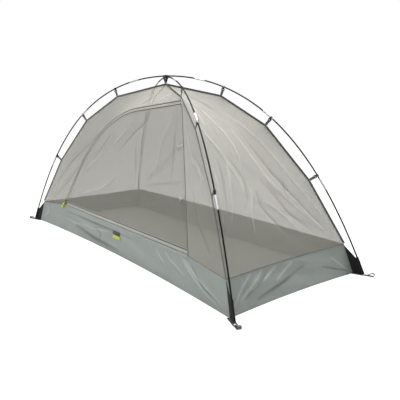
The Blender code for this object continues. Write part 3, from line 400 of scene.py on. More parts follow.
def webbing(name, colour, pitch, roughness=0.8, sheen=0.1):
    """Woven polypropylene or polyester tape: ribs across it and a herringbone of yarns."""
    material, tree, shader = new_finish(name, roughness, Sheen_Weight=sheen, Specular_IOR_Level=0.2)
    weave = crossed(tree, ("X", pitch, 0.5), ("Y", pitch * 0.8))
    reach = {"Value": weave, "From Min": -1.0, "From Max": 1.0, "To Min": 0.78, "To Max": 1.15}
    shade = {0: mottle(tree, colour, 0.06, 0.02), "Scale": add_node(tree, "ShaderNodeMapRange", reach)}
    tinted = add_node(tree, "ShaderNodeVectorMath", shade, operation="SCALE")
    relief = add_node(tree, "ShaderNodeBump", {"Height": weave, "Distance": 0.0004, "Strength": 0.8})
    feed(shader, {"Base Color": tinted, "Normal": relief})
    return material


def laid_over(material, operation, edge, colour):
    """Shows another colour on one side of an edge across a tape."""
    tree = material.node_tree
    shader = tree.nodes["Principled BSDF"]
    place = add_node(tree, "ShaderNodeTexCoord").outputs["UV"]
    across = add_node(tree, "ShaderNodeSeparateXYZ", {"Vector": place}).outputs["Y"]
    side = add_node(tree, "ShaderNodeMath", {0: across, 1: edge}, operation=operation)
    under = shader.inputs["Base Color"].links[0].from_socket
    tones = {"Factor": side, "A": under, "B": colour}
    feed(shader, {"Base Color": add_node(tree, "ShaderNodeMix", tones, data_type="RGBA")})
    return material


def edged_tape(name, colour, hem, beyond, start):
    """Zip tape: a light fine woven band, then the hem sewn to it and the cloth over its edge.
    Both have one colour up to a run along the zip, where the pan is sewn on, and one after it. On the frame
    tape, the hem line's colour before that run is painted shade."""
    material = webbing(name, colour, 0.0018, 0.75)
    tree = material.node_tree
    place = add_node(tree, "ShaderNodeTexCoord").outputs["UV"]
    run = add_node(tree, "ShaderNodeSeparateXYZ", {"Vector": place}).outputs["X"]
    after = add_node(tree, "ShaderNodeMath", {0: run, 1: start}, operation="GREATER_THAN")
    middle, reach = hem_line
    for (first, last), edge in ((hem, middle - reach), (beyond, middle + reach)):
        tones = {"Factor": after, "A": (*first, 1), "B": (*last, 1)}
        laid_over(material, "GREATER_THAN", edge, add_node(tree, "ShaderNodeMix", tones, data_type="RGBA"))
    return material


def grained(name, colour, roughness, patches, grain, relief, metallic=0.0, **sockets):
    """A hard finish: faint patches of a strength and size, and a grain in low relief. Also gives
    the grain."""
    material, tree, shader = new_finish(name, roughness, metallic, **sockets)
    solid = add_node(tree, "ShaderNodeTexCoord").outputs["Object"]
    pits = {"Vector": solid, "Scale": 1 / grain[0], "Detail": grain[1]}
    pits = add_node(tree, "ShaderNodeTexNoise", pits)
    bump = add_node(tree, "ShaderNodeBump", {"Height": pits, "Distance": relief[0], "Strength": relief[1]})
    feed(shader, {"Base Color": mottle(tree, colour, *patches), "Normal": bump})
    return material, pits


def moulded(name, colour, roughness):
    """Injection-moulded plastic: a fine spark-eroded grain with a low even gloss."""
    return grained(name, colour, roughness, (0.12, 0.01), (0.0006, 2.0), (0.0002, 0.4), IOR=1.50)[0]


def metal(name, colour, roughness):
    """Nickel-plated steel or brass, drawn and tumbled: bright, with fine lines and dull spots."""
    material, lines = grained(name, colour, roughness, (0.06, 0.008), (0.0009, 3.0), (0.0001, 0.3), 1.0)
    reach = {"Value": lines, "To Min": roughness * 0.7, "To Max": roughness * 1.4}
    rough = add_node(material.node_tree, "ShaderNodeMapRange", reach)
    feed(material.node_tree.nodes["Principled BSDF"], {"Roughness": rough})
    return material


def make_finishes():
    """Makes every material once, from the colours in the scene's settings."""
    colours, sizes = bpy.context.scene.tent_colours, bpy.context.scene.tent_sizes
    finishes["netting"] = netting_cloth("knitted_polyester_net", colours.netting, sizes.net_mesh)
    # The door's net is a darker copy of the panels' net: painted shade, where the door reads darker than the
    # panels.
    shaded_net_colour = [part * 0.82 for part in colours.netting]
    finishes["shaded_door_netting"] = netting_cloth("slack_polyester_net", shaded_net_colour, sizes.net_mesh)
    finishes["pan"] = coated_cloth("coated_polyester_taffeta", colours.pan, 0.42)
    finishes["floor"] = coated_cloth("coated_floor_taffeta", colours.floor, 0.5)
    hem = [part * 0.6 for part in colours.binding]
    # Painted shade: under the rolled hem on the sill, the frame tape's line is the hem's colour mixed into
    # the pan's.
    soft = [(a + 2 * b) / 3 for a, b in zip(hem, colours.pan)]
    for name, line, cloth in (
        ("frame_tape", (soft, hem), (colours.pan, colours.netting)),
        ("door_tape", (hem, hem), (colours.netting, colours.netting)),
    ):
        made = edged_tape(f"woven_zip_{name}", colours.zip_tape, line, cloth, seam_x(0) - door_toe_x)
        finishes[name] = made
    for use, name, colour, *rest in (
        ("binding", "grosgrain_binding_tape", colours.binding, 0.0020),
        ("strap", "polypropylene_webbing", colours.strap, 0.0024),
        ("dark_strap", "dark_polypropylene_webbing", colours.dark_strap, 0.0026),
        ("black_cloth", "coarse_black_nylon_cloth", colours.black_cloth, 0.0022, 0.7, 0.05),
        ("lime", "braided_lime_cord", colours.lime, 0.0022, 0.6),
        ("pale_strap", "pale_polyester_webbing", colours.pale_strap, 0.0018),
        ("thread", "polyester_sewing_thread", colours.thread, 0.0008),
        # A woven satin tag: a dark ground over a bright lower band, both plain.
        ("tag", "woven_satin_tag", colours.tag, 0.0016, 0.55, 0.3),
    ):
        finishes[use] = webbing(name, colour, *rest)
    laid_over(finishes["tag"], "LESS_THAN", tag_height * 0.46, (*colours.lime, 1))
    finishes["coil"] = moulded("nylon_zip_coil", colours.zip_coil, 0.45)
    finishes["plastic"] = moulded("moulded_black_acetal", colours.plastic, 0.38)
    finishes["toggle"] = moulded("moulded_pale_toggle", colours.pale_strap, 0.5)
    finishes["ferrule"] = metal("nickel_plated_steel", to_linear("#b4b5b4"), 0.33)
    finishes["grommet"] = metal("blackened_brass", to_linear("#4b4c4d"), 0.42)
    # Pultruded rod: lengthwise fibres under a smooth resin skin
    rod = (0.18, 0.05), (1 / 900, 2.0), (0.0002, 0.3)
    finishes["rod"] = grained("pultruded_glass_fibre", colours.rod, 0.5, *rod, Specular_IOR_Level=0.12)[0]


# Meshes


def placed(name, data):
    """A new object at the origin, in the scene."""
    made = bpy.data.objects.new(name, data)
    bpy.context.scene.collection.objects.link(made)
    return made


def smooth(obj, degrees=40):
    """Smooth shading, with the edges that turn further than an angle kept sharp."""
    obj.data.shade_smooth()
    obj.data.set_sharp_from_angle(angle=math.radians(degrees))
    return obj


def write_uv(obj, uv):
    """Writes a UV map that has one pair in metres for each point."""
    layer = obj.data.uv_layers.get("UVMap") or obj.data.uv_layers.new(name="UVMap")
    corners = np.empty(len(obj.data.loops), np.int32)
    obj.data.loops.foreach_get("vertex_index", corners)
    layer.data.foreach_set("uv", np.asarray(uv, np.float32)[corners].ravel())


def mesh_object(name, points, faces, material, uv=None):
    mesh = bpy.data.meshes.new(name)
    mesh.from_pydata([tuple(point) for point in points], [], [tuple(int(i) for i in face) for face in faces])
    made = placed(name, mesh)
    if uv is not None:
        write_uv(made, uv)
    mesh.materials.append(finishes[material])
    return smooth(made)


def face_out(obj):
    """Makes the faces of a closed shell point outwards."""
    work = bmesh.new()
    work.from_mesh(obj.data)
    bmesh.ops.remove_doubles(work, verts=work.verts, dist=clearance / 30)
    bmesh.ops.recalc_face_normals(work, faces=work.faces)
    work.to_mesh(obj.data)
    work.free()
    return obj


def settle(obj, body, nodes=()):
    """Hands a finished piece to the frame: what it rides on, and the CAD nodes that it stands for, which it
    hides.
    """
    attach(obj, body)
    if nodes:
        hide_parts(*nodes)
    return obj


def apply_modifiers(obj):
    """Turns an object with modifiers, or a curve, into a plain mesh object at the origin."""
    bpy.context.view_layer.update()
    graph = bpy.context.evaluated_depsgraph_get()
    mesh = bpy.data.meshes.new_from_object(obj.evaluated_get(graph))
    mesh.transform(obj.matrix_world)
    name = obj.name
    bpy.data.objects.remove(obj)
    return placed(name, mesh)


def join(name, pieces):
    """One object from the meshes of several, which keep their materials."""
    work = bmesh.new()
    materials = []
    for piece in pieces:
        before = len(work.faces)
        work.from_mesh(piece.data)
        work.faces.ensure_lookup_table()
        for face in work.faces[before:]:
            material = piece.data.materials[face.material_index]
            if material not in materials:
                materials.append(material)
            face.material_index = materials.index(material)
    mesh = bpy.data.meshes.new(name)
    work.to_mesh(mesh)
    work.free()
    for material in materials:
        mesh.materials.append(material)
    for piece in pieces:
        bpy.data.objects.remove(piece)
    return placed(name, mesh)


def as_array(points):
    return np.array([tuple(point) for point in points], float)


def unit(vectors):
    return vectors / np.linalg.norm(vectors, axis=-1, keepdims=True)


def arc_lengths(points):
    return np.concatenate([[0], np.cumsum(np.linalg.norm(np.diff(points, axis=0), axis=1))])


def resample(points, count):
    """Points evenly along a polyline, both ends included."""
    points = as_array(points)
    lengths = arc_lengths(points)
    wanted = np.linspace(0, lengths[-1], count + 1)
    return np.stack([np.interp(wanted, lengths, points[:, axis]) for axis in range(points.shape[1])], axis=1)


def spread(start, end, count):
    shares = np.linspace(0, 1, count + 1)[:, None]
    return np.array(start) * (1 - shares) + np.array(end) * shares


def along(points, counts):
    """Points along a polyline, with a count of steps for each of its spans."""
    lines = [spread(a, b, n)[:-1] for a, b, n in zip(points, points[1:], counts)]
    return np.concatenate(lines + [np.array([tuple(points[-1])])])


def rounded(width, thickness, corner, steps=2):
    """Section of a flat tape: a rectangle with rounded corners, as (across, through) pairs."""
    half_across, half_through = width / 2 - corner, thickness / 2 - corner
    section = []
    for quarter, (a, b) in enumerate(((1, 1), (-1, 1), (-1, -1), (1, -1))):
        for step in range(steps + 1):
            turn = math.pi / 2 * (quarter + step / steps)
            aside, deep = corner * math.cos(turn), corner * math.sin(turn)
            section.append((a * half_across + aside, b * half_through + deep))
    return np.array(section)


def circle(radius, sides):
    turns = np.linspace(0, 2 * math.pi, sides, endpoint=False)
    return np.stack([radius * np.cos(turns), radius * np.sin(turns)], axis=1)


def tube_faces(count, sides, loop=True):
    """Faces between rings of points, each ring next to the one before."""
    starts = [(row * sides, (row + 1) % count * sides) for row in range(count if loop else count - 1)]
    turn = [(n, (n + 1) % sides) for n in range(sides)]
    return [(a + n, a + m, b + m, b + n) for a, b in starts for n, m in turn]


def sweep(name, path, across, section, material, loop=False, scales=None):
    """A section carried along a path. `across` is the direction of the section's first axis,
    one for the whole path or one for each point; the second axis is square to it and the path."""
    path = as_array(path)
    count = len(path)
    if loop:
        before, after = np.roll(path, 1, axis=0), np.roll(path, -1, axis=0)
        ways = unit(after - before)
        into = unit(path - before)
    else:
        ways = unit(np.gradient(path, axis=0))
        into = unit(np.concatenate([path[1:2] - path[:1], np.diff(path, axis=0)]))
    across = np.broadcast_to(np.array(across, float), path.shape)
    across = unit(across - (across * ways).sum(axis=1, keepdims=True) * ways)
    through = np.cross(ways, across)
    lean = np.clip((into * ways).sum(axis=1), 0.5, 1)
    scales = np.ones((count, 2)) if scales is None else np.array(scales, float)
    wide = section[None, :, 0] * scales[:, :1]
    deep = section[None, :, 1] * scales[:, 1:] / lean[:, None]
    points = path[:, None] + wide[..., None] * across[:, None] + deep[..., None] * through[:, None]
    sides = len(section)
    lengths = arc_lengths(np.concatenate([path, path[:1]]) if loop else path)
    uv = np.stack([np.repeat(lengths[:count], sides), np.tile(section[:, 0], count)], axis=1)
    faces = tube_faces(count, sides, loop)
    if not loop:
        faces += [range(sides - 1, -1, -1), range((count - 1) * sides, count * sides)]
    return face_out(mesh_object(name, points.reshape(-1, 3), faces, material, uv))


def turned(name, path, radii, material, sides=20):
    """A round solid along a path, with a radius at each point."""
    path = as_array(path)
    way = path[-1] - path[0]
    aside = np.cross(way, (0, 0, 1)) if abs(way[2]) < 0.99 * np.linalg.norm(way) else np.array([1.0, 0, 0])
    scales = np.stack([radii, radii], axis=1)
    return sweep(name, path, aside, circle(1.0, sides), material, scales=scales)


def line_curve(name, lines, dimensions):
    """A curve with straight spans through points. A flat one is closed."""
    curve = bpy.data.curves.new(name, "CURVE")
    curve.dimensions = dimensions
    for line in lines:
        spline = curve.splines.new("POLY")
        spline.points.add(len(line) - 1)
        for point, spot in zip(spline.points, line):
            point.co = (*Vector(spot).to_3d(), 1)
        spline.use_cyclic_u = dimensions == "2D"
    return curve


def plate(name, outlines, thickness, place, material, bevel=0.0003):
    """A flat moulded piece with rounded edges, in the XY plane of `place`."""
    curve = line_curve(name, outlines, "2D")
    curve.fill_mode = "BOTH"
    curve.extrude = thickness / 2 - bevel
    curve.bevel_depth = bevel
    curve.bevel_resolution = 1
    curve.offset = -bevel
    made = placed(name, curve)
    curve.materials.append(finishes[material])
    made.matrix_world = place
    return smooth(face_out(apply_modifiers(made)))


def flattened(obj, origin, first, second):
    """An object's points as places in metres along two directions."""
    points = as_array([v.co for v in obj.data.vertices]) - np.array(origin)
    return np.stack([points @ np.array(first), points @ np.array(second)], axis=1)


def frame_at(origin, x_axis, y_axis):
    turn = Matrix((x_axis, y_axis, x_axis.cross(y_axis))).transposed()
    return Matrix.Translation(origin) @ turn.to_4x4()


def oblong(left, low, right, high):
    return [(left, low), (right, low), (right, high), (left, high)]


def arc_points(centre, radius, start_degrees, end_degrees, steps):
    turns = np.radians(np.linspace(start_degrees, end_degrees, steps + 1))
    return [(centre[0] + radius * math.cos(t), centre[1] + radius * math.sin(t)) for t in turns]


def belt(near_radius, far_radius, distance, steps=10):
    """A belt's line round two circles: one at the origin, one up +Y at a distance."""
    lean = math.asin((far_radius - near_radius) / distance)
    line = []
    for centre, radius, start, end in (
        (distance, far_radius, -lean, math.pi + lean),
        (0, near_radius, math.pi + lean, 2 * math.pi - lean),
    ):
        line += arc_points((0, centre), radius, math.degrees(start), math.degrees(end), steps)
    return line


def in_place(place, line):
    """Points of a flat line, put into the XY plane of `place`."""
    return [place @ Vector((x, y, 0)) for x, y in line]


# What repeats along a path


def path_tree(name, inputs, grow):
    """A geometry tree along a path. `grow` adds its nodes, fed by the tree's named inputs."""
    tree = bpy.data.node_groups.new(name, "GeometryNodeTree")
    names = {}
    for label, kind in (("Path", "Geometry"), *inputs, ("Finish", "Material")):
        socket = tree.interface.new_socket(label, in_out="INPUT", socket_type=f"NodeSocket{kind}")
        names[label] = socket.identifier
    tree.interface.new_socket("Mesh", in_out="OUTPUT", socket_type="NodeSocketGeometry")
    given = add_node(tree, "NodeGroupInput").outputs
    real = add_node(tree, "GeometryNodeRealizeInstances", {"Geometry": grow(tree, given)})
    dressed = add_node(tree, "GeometryNodeSetMaterial", {"Geometry": real, "Material": given["Finish"]})
    add_node(tree, "NodeGroupOutput", {0: dressed})
    return tree, names


def set_in_a_row(tree, given):
    """Sets one small shape after another along the path."""
    path = {"Curve": given["Path"], "Length": given["Pitch"]}
    spots = add_node(tree, "GeometryNodeCurveToPoints", path, mode="LENGTH").outputs
    facing = add_node(tree, "FunctionNodeAlignRotationToVector", {"Vector": given["Facing"]}, axis="Z")
    turn = {"Rotation": facing, "Vector": spots["Tangent"]}
    turn = add_node(tree, "FunctionNodeAlignRotationToVector", turn, axis="X", pivot_axis="Z")
    shape = add_node(tree, "GeometryNodeObjectInfo", {"Object": given["Unit"]}).outputs["Geometry"]
    copies = {"Points": spots["Points"], "Instance": shape, "Rotation": turn}
    return add_node(tree, "GeometryNodeInstanceOnPoints", copies)


def drawn_round(tree, given):
    """Draws a round rod along the path."""
    ring = {"Resolution": given["Sides"], "Radius": given["Radius"]}
    ring = add_node(tree, "GeometryNodeCurvePrimitiveCircle", ring)
    skin = {"Curve": given["Path"], "Profile Curve": ring, "Fill Caps": True}
    skin = add_node(tree, "GeometryNodeCurveToMesh", skin)
    return add_node(tree, "GeometryNodeSetShadeSmooth", {"Geometry": skin})


def grown(name, lines, made_tree, values):
    """Runs a tree on polylines and returns its result as a plain mesh object."""
    tree, names = made_tree
    curve = line_curve(name, lines, "3D")
    path = placed(name, curve)
    change = path.modifiers.new("grow", "NODES")
    change.node_group = tree
    for socket, value in values.items():
        change[names[socket]] = value
    made = apply_modifiers(path)
    bpy.data.curves.remove(curve)
    return made


def bead(size):
    """A small rounded unit, of a size along the path, across it and through the cloth."""
    mesh = bpy.data.meshes.new("bead")
    work = bmesh.new()
    bmesh.ops.create_uvsphere(work, u_segments=6, v_segments=4, radius=0.5)
    bmesh.ops.transform(work, matrix=Matrix.Diagonal((*size, 1)), verts=work.verts)
    work.to_mesh(mesh)
    work.free()
    mesh.shade_smooth()
    return bpy.data.objects.new("bead", mesh)


def repeated(name, lines, size, pitch, facing, material):
    """A row of beads along lines: stitches or the turns of a coil."""
    shape = bead(size)
    values = {"Pitch": pitch, "Facing": tuple(facing), "Unit": shape, "Finish": finishes[material]}
    made = grown(name, lines, trees["repeat"], values)
    bpy.data.objects.remove(shape)
    return made


def stitches(name, lines, facing, through, body):
    """Rows of stitches through a cloth, seen on both of its faces."""
    sizes = bpy.context.scene.tent_sizes
    size = (sizes.stitch_pitch * stitch_share, sizes.stitch_width, through + sizes.stitch_width)
    settle(repeated(name, lines, size, sizes.stitch_pitch, facing, "thread"), body)


# Cloth


def stretch(grid, rows, columns):
    """Fills a grid whose rim is set, as the CAD part's coarser grid of rows and columns does:
    there each point is the mean of its four neighbours."""
    pull_down = ((grid.shape[0] - 1) / rows) ** 2
    pull_across = ((grid.shape[1] - 1) / columns) ** 2
    total = 2 * (pull_down + pull_across)
    for stride in (8, 4, 2, 1):
        part = grid[::stride, ::stride]
        if stride < 8:
            part[1:-1:2, 2:-2:2] = (part[:-2:2, 2:-2:2] + part[2::2, 2:-2:2]) / 2
            part[1:-1, 1:-1:2] = (part[1:-1, :-2:2] + part[1:-1, 2::2]) / 2
        for _ in range(2400 if stride == 8 else 80):
            down = part[:-2, 1:-1] + part[2:, 1:-1]
            across = part[1:-1, :-2] + part[1:-1, 2:]
            part[1:-1, 1:-1] = (pull_down * down + pull_across * across) / total
    return grid


def grid_normals(grid, toward):
    """Normals of a grid's points, on the side that `toward` points to."""
    normals = np.cross(np.gradient(grid, axis=1), np.gradient(grid, axis=0))
    normals = normals / np.maximum(np.linalg.norm(normals, axis=-1, keepdims=True), 1e-12)
    if (normals.mean(axis=(0, 1)) * np.array(toward)).sum() < 0:
        normals = -normals
    return normals


def shares_of(grid):
    rows, columns = grid.shape[:2]
    return np.meshgrid(np.linspace(0, 1, rows), np.linspace(0, 1, columns), indexing="ij")


def held_edges(grid, power=10):
    """1 inside a grid, falling smoothly to 0 at its rim, which is sewn down."""
    down, across = shares_of(grid)
    return (1 - np.abs(2 * down - 1) ** power) * (1 - np.abs(2 * across - 1) ** power)


def nearest_on(line, points):
    """Each point's distance from a polyline, and how far along the polyline it lies."""
    gap, run = np.full(points.shape[:-1], np.inf), np.zeros(points.shape[:-1])
    for a, b, start in zip(line, line[1:], arc_lengths(line)):
        way = b - a
        share = np.clip(((points - a) @ way) / (way @ way), 0, 1)
        away = np.linalg.norm(points - a - share[..., None] * way, axis=-1)
        nearer = away < gap
        gap[nearer] = away[nearer]
        run[nearer] = (start + share * np.linalg.norm(way))[nearer]
    return gap, run


def crease(grid, toward, lines):
    """Raises soft folds along lines. Each one is its points as (row share, column share), its
    width and its height, which is negative for a furrow. Also gives how sharply the cloth is
    folded at each point, from -1 to 1."""
    rows, columns = grid.shape[:2]
    normals = grid_normals(grid, toward)
    edge = held_edges(grid)
    flat, grid = grid, grid.copy()
    marks = np.zeros((rows, columns))
    for spots, width, height in lines:
        line = [flat[round(row * (rows - 1)), round(column * (columns - 1))] for row, column in spots]
        gap, run = nearest_on(line, flat)
        share = run / arc_lengths(line)[-1]
        shape = np.exp(-((gap / width) ** 1.4)) * np.sin(math.pi * share) ** 0.7
        grid += normals * (height * edge * shape)[..., None]
        sharp = np.exp(-((gap / width * 2.2) ** 2)) * np.sin(math.pi * share) ** 0.5
        marks += math.copysign(1, height) * sharp * edge
    return grid, np.clip(marks, -1, 1)


def fan(corner, ends, width, height):
    """Tension folds that run from one corner to several ends, up and down in turn."""
    return [
        ((corner, end), width * (1 + 0.25 * (n % 3)), height * (1 if n % 2 else -0.8) * (1 - 0.15 * (n % 4)))
        for n, end in enumerate(ends)
    ]


def traced(table, width, height):
    """Fold lines from a table of shares of a width and a height, with their places after them."""
    lines = []
    for wide, high, *places in table:
        shares = [place / 100 for place in places]
        lines.append((list(zip(shares[::2], shares[1::2])), wide * width, high * height))
    return lines


def extents(grid):
    """Lengths of a grid's widest row and its tallest column."""
    return [np.linalg.norm(np.diff(grid, axis=axis), axis=-1).sum(axis=axis).max() for axis in (1, 0)]


def grid_uv(grid):
    """UV in metres across and down a grid."""
    down, across = shares_of(grid)
    wide, tall = extents(grid)
    return np.stack([across * wide, down * tall], axis=-1).reshape(-1, 2)


def mark_folds(obj, marks):
    # The fold marks also drive the painted highlight and painted shade of the creases.
    folds = obj.data.attributes.new("fold", "FLOAT", "POINT")
    folds.data.foreach_set("value", marks.ravel().astype(np.float32))


def grid_cells(grid):
    """A grid's point numbers, and the four corners of each of its cells."""
    index = np.arange(grid.shape[0] * grid.shape[1]).reshape(grid.shape[:2])
    corners = (index[:-1, :-1], index[:-1, 1:], index[1:, 1:], index[1:, :-1])
    return index, np.stack(corners, axis=-1).reshape(-1, 4)


def net_sheet(name, grid, toward, material):
    """A single skin of net, facing out of the tent."""
    faces = grid_cells(grid)[1][:, (0, 3, 2, 1)]
    normals = np.cross(np.gradient(grid, axis=1), np.gradient(grid, axis=0)).mean(axis=(0, 1))
    if (normals * np.array(toward)).sum() > 0:
        faces = faces[:, ::-1]
    return mesh_object(name, grid.reshape(-1, 3), faces, material, grid_uv(grid))


def cloth_solid(name, outer, inner, material, marks=None):
    """A closed sheet between two grids of points, with the marks of its folds."""
    index, front = grid_cells(outer)
    back = front[:, ::-1] + index.size
    rim = np.concatenate([index[0, :-1], index[:-1, -1], index[-1, :0:-1], index[:0:-1, 0]])
    after = np.roll(rim, -1)
    side = np.stack([rim, rim + index.size, after + index.size, after], axis=-1)
    points = np.concatenate([outer.reshape(-1, 3), inner.reshape(-1, 3)])
    uv = np.concatenate([grid_uv(outer)] * 2)
    made = mesh_object(name, points, np.concatenate([front, back, side]), material, uv)
    if marks is not None:
        mark_folds(made, np.concatenate([marks.ravel()] * 2))
    return face_out(made)


# Poles, arms and ridges, as the CAD part has them


class Pole:
    """One bent pole in a vertical plane through the middle of the floor."""

    def __init__(self, name, apex, direction):
        self.name = name
        self.apex = apex
        self.direction = direction
        self.reaches = np.linspace(0, rod_reach, 4001)
        self.heights = np.array([self.height(reach) for reach in self.reaches])
        self.arcs = np.concatenate([[0], np.cumsum(np.hypot(np.diff(self.reaches), np.diff(self.heights)))])
        self.half = self.arcs[-1]
        self.rod_length = 2 * self.half / rods_per_pole

    def height(self, reach):
        share = reach / rod_reach
        drop = sum(part * share ** (2 * order) for order, part in enumerate(pole_drop_shares, 1))
        return self.apex - (self.apex - rod_end_height) * drop

    def slope(self, reach):
        share = reach / rod_reach
        rate = sum(part * 2 * n * share ** (2 * n - 1) for n, part in enumerate(pole_drop_shares, 1))
        return -(self.apex - rod_end_height) * rate / rod_reach

    def at(self, arc):
        reach = math.copysign(float(np.interp(abs(arc), self.arcs, self.reaches)), arc)
        return reach, self.height(reach)

    def at_height(self, height):
        return float(np.interp(-height, -self.heights, self.reaches))

    def outward(self, reach):
        slope = self.slope(reach)
        return -slope / math.hypot(1, slope), 1 / math.hypot(1, slope)

    def joints(self):
        return [self.rod_length * n - self.half for n in range(1, rods_per_pole)]

    def point(self, arc):
        reach, height = self.at(arc)
        return self.direction * reach + up * height

    def path(self, start, end, step=0.012):
        count = max(2, round((end - start) / step))
        return [self.point(arc) for arc in np.linspace(start, end, count + 1)]


long_way = Vector((math.cos(diagonal_angle), math.sin(diagonal_angle), 0))
other_way = Vector((math.cos(diagonal_angle), -math.sin(diagonal_angle), 0))
upper_pole = Pole("upper_pole", upper_apex, long_way)
lower_pole = Pole("lower_pole", lower_apex, other_way)


class Arm:
    """Half of a pole, from the apex down to one corner of the tent."""

    def __init__(self, name, pole, sign):
        self.name = name
        self.pole = pole
        self.out = pole.direction * sign
        end_side = math.copysign(self.out.y, self.out.x)
        self.to_end = Vector((end_side, -math.copysign(self.out.x, self.out.y), 0))

    def place(self, reach, height, to_end=0):
        return self.out * reach + up * height + self.to_end * to_end

    def ridge(self):
        points = [(0, ridge_apex)]
        for share in clip_shares:
            reach, height = self.pole.at(share * self.pole.half)
            along_reach, along_up = self.pole.outward(reach)
            points.append((reach - strap_reach * along_reach, height - strap_reach * along_up))
        return points + [(pan_corner_reach, pan_height)]


arms = {
    "left": Arm("left", upper_pole, -1),
    "right": Arm("right", upper_pole, 1),
    "front": Arm("front", lower_pole, 1),
    "rear": Arm("rear", lower_pole, -1),
}
sides = {
    "front": ("left", "front", Vector((0, -1, 0))),
    "rear": ("rear", "right", Vector((0, 1, 0))),
    "left": ("left", "rear", Vector((-1, 0, 0))),
    "right": ("front", "right", Vector((1, 0, 0))),
}


def tip_ground_reach(arm):
    reach, height = arm.pole.at(arm.pole.half)
    return reach - height / arm.pole.slope(reach)


def floor_edge(share, side):
    bulge = 1 - (2 * share - 1) ** 2
    if side in ("front", "rear"):
        y = half_width - floor_side_bow * bulge
        return Vector(((2 * share - 1) * half_length, -y if side == "front" else y, 0))
    x = half_length - floor_end_bow * bulge
    return Vector((-x if side == "left" else x, (2 * share - 1) * half_width, 0))


def corner_line(height):
    return corner_reach - pan_corner_lean * (height - pan_floor) / (pan_height - pan_floor)


def pan_corner(name):
    return arms[name].place(pan_corner_reach, pan_height)


# The door's plane, its zip and its hinge seam, as the CAD part has them

node_place = arms["front"].place(*arms["front"].ridge()[1])
sill_middle = Vector((0, -(half_width - sill_inset), sill_height))
door_up = Vector((0, node_place.y - sill_middle.y, node_place.z - sill_middle.z)).normalized()
door_side = Vector((1, 0, 0))
door_out = door_side.cross(door_up)
seam_head = Vector((node_place.x, (node_place - sill_middle).dot(door_up)))
seam_foot = Vector((seam_foot_x, 0))
seam_down = (seam_foot - seam_head).normalized()
seam_to_door = Vector((seam_down.y, -seam_down.x))
seam_way = door_side * seam_down.x + door_up * seam_down.y
door_way = door_side * seam_to_door.x + door_up * seam_to_door.y
zip_rise = zip_edge + clearance
toe = Vector((door_toe_x, zip_rise))
shoulder = Vector(shoulder_place)
head_end = seam_head + seam_down * door_head_drop
leg_way = (shoulder - toe).normalized()
head_way = (head_end - shoulder).normalized()
shoulder_steps = 110


def door_point(x, rise, out):
    return sill_middle + door_side * x + door_up * rise + door_out * out


def seam_x(rise):
    return seam_head.x + (seam_head.y - rise) * seam_down.x / -seam_down.y


def crossing(point, way, other, other_way):
    determinant = way.x * -other_way.y + other_way.x * way.y
    gap = other - point
    return point + way * (gap.x * -other_way.y + other_way.x * gap.y) / determinant


def fillet(before, corner, after, radius, steps):
    first, second = (before - corner).normalized(), (after - corner).normalized()
    half = first.angle(second) / 2
    middle = corner + (first + second).normalized() * radius / math.sin(half)
    start = corner + first * radius / math.tan(half) - middle
    sense = 1 if first.x * second.y - first.y * second.x < 0 else -1
    turns = [sense * (math.pi - 2 * half) * step / steps for step in range(steps + 1)]
    made = []
    for cos, sin in [(math.cos(t), math.sin(t)) for t in turns]:
        made.append(middle + Vector((start.x * cos - start.y * sin, start.x * sin + start.y * cos)))
    return made


def zip_line(offset, seam_gap):
    """The zip's path moved outwards: seam's foot, toe, rounded shoulder, seam's head."""
    low_point = Vector((0, zip_rise - offset))
    leg_point = toe + Vector((-leg_way.y, leg_way.x)) * offset
    head_point = shoulder + Vector((-head_way.y, head_way.x)) * offset
    seam_point = seam_head + seam_to_door * seam_gap
    level = Vector((1, 0))
    first = crossing(low_point, level, seam_point, seam_down)
    low_corner = crossing(low_point, level, leg_point, leg_way)
    high_corner = crossing(leg_point, leg_way, head_point, head_way)
    last = crossing(head_point, head_way, seam_point, seam_down)
    arc = fillet(low_corner, high_corner, last, shoulder_radius + offset, shoulder_steps)
    return [first, low_corner] + arc + [last]


def top_edge(side):
    """The pan's top edge as a polyline from its low to its high coordinate."""
    if side == "front":
        right = (seam_setback + seam_width + clearance) / abs(seam_to_door.x)
        return [
            pan_corner("left"),
            door_point(zip_line(zip_edge, clearance)[1].x, 0, 0),
            door_point(seam_x(0) + right, 0, 0),
            pan_corner("front"),
        ]
    bow, rise = (back_edge_bow, back_edge_rise) if side == "rear" else (end_edge_bow, 0)
    low, high, out = sides[side]
    start, end = pan_corner(low), pan_corner(high)
    points = []
    for station in range(edge_stations + 1):
        share = station / edge_stations
        bulge = 1 - (2 * share - 1) ** 2
        points.append(start.lerp(end, share) - out * bow * bulge + up * rise * bulge)
    return points


# The pan

wall_counts = {"front": (64, 240, 64), "rear": (24,) * 8, "left": (12,) * 8, "right": (24,) * 8}
wall_rows = 44

crease_width = 0.009

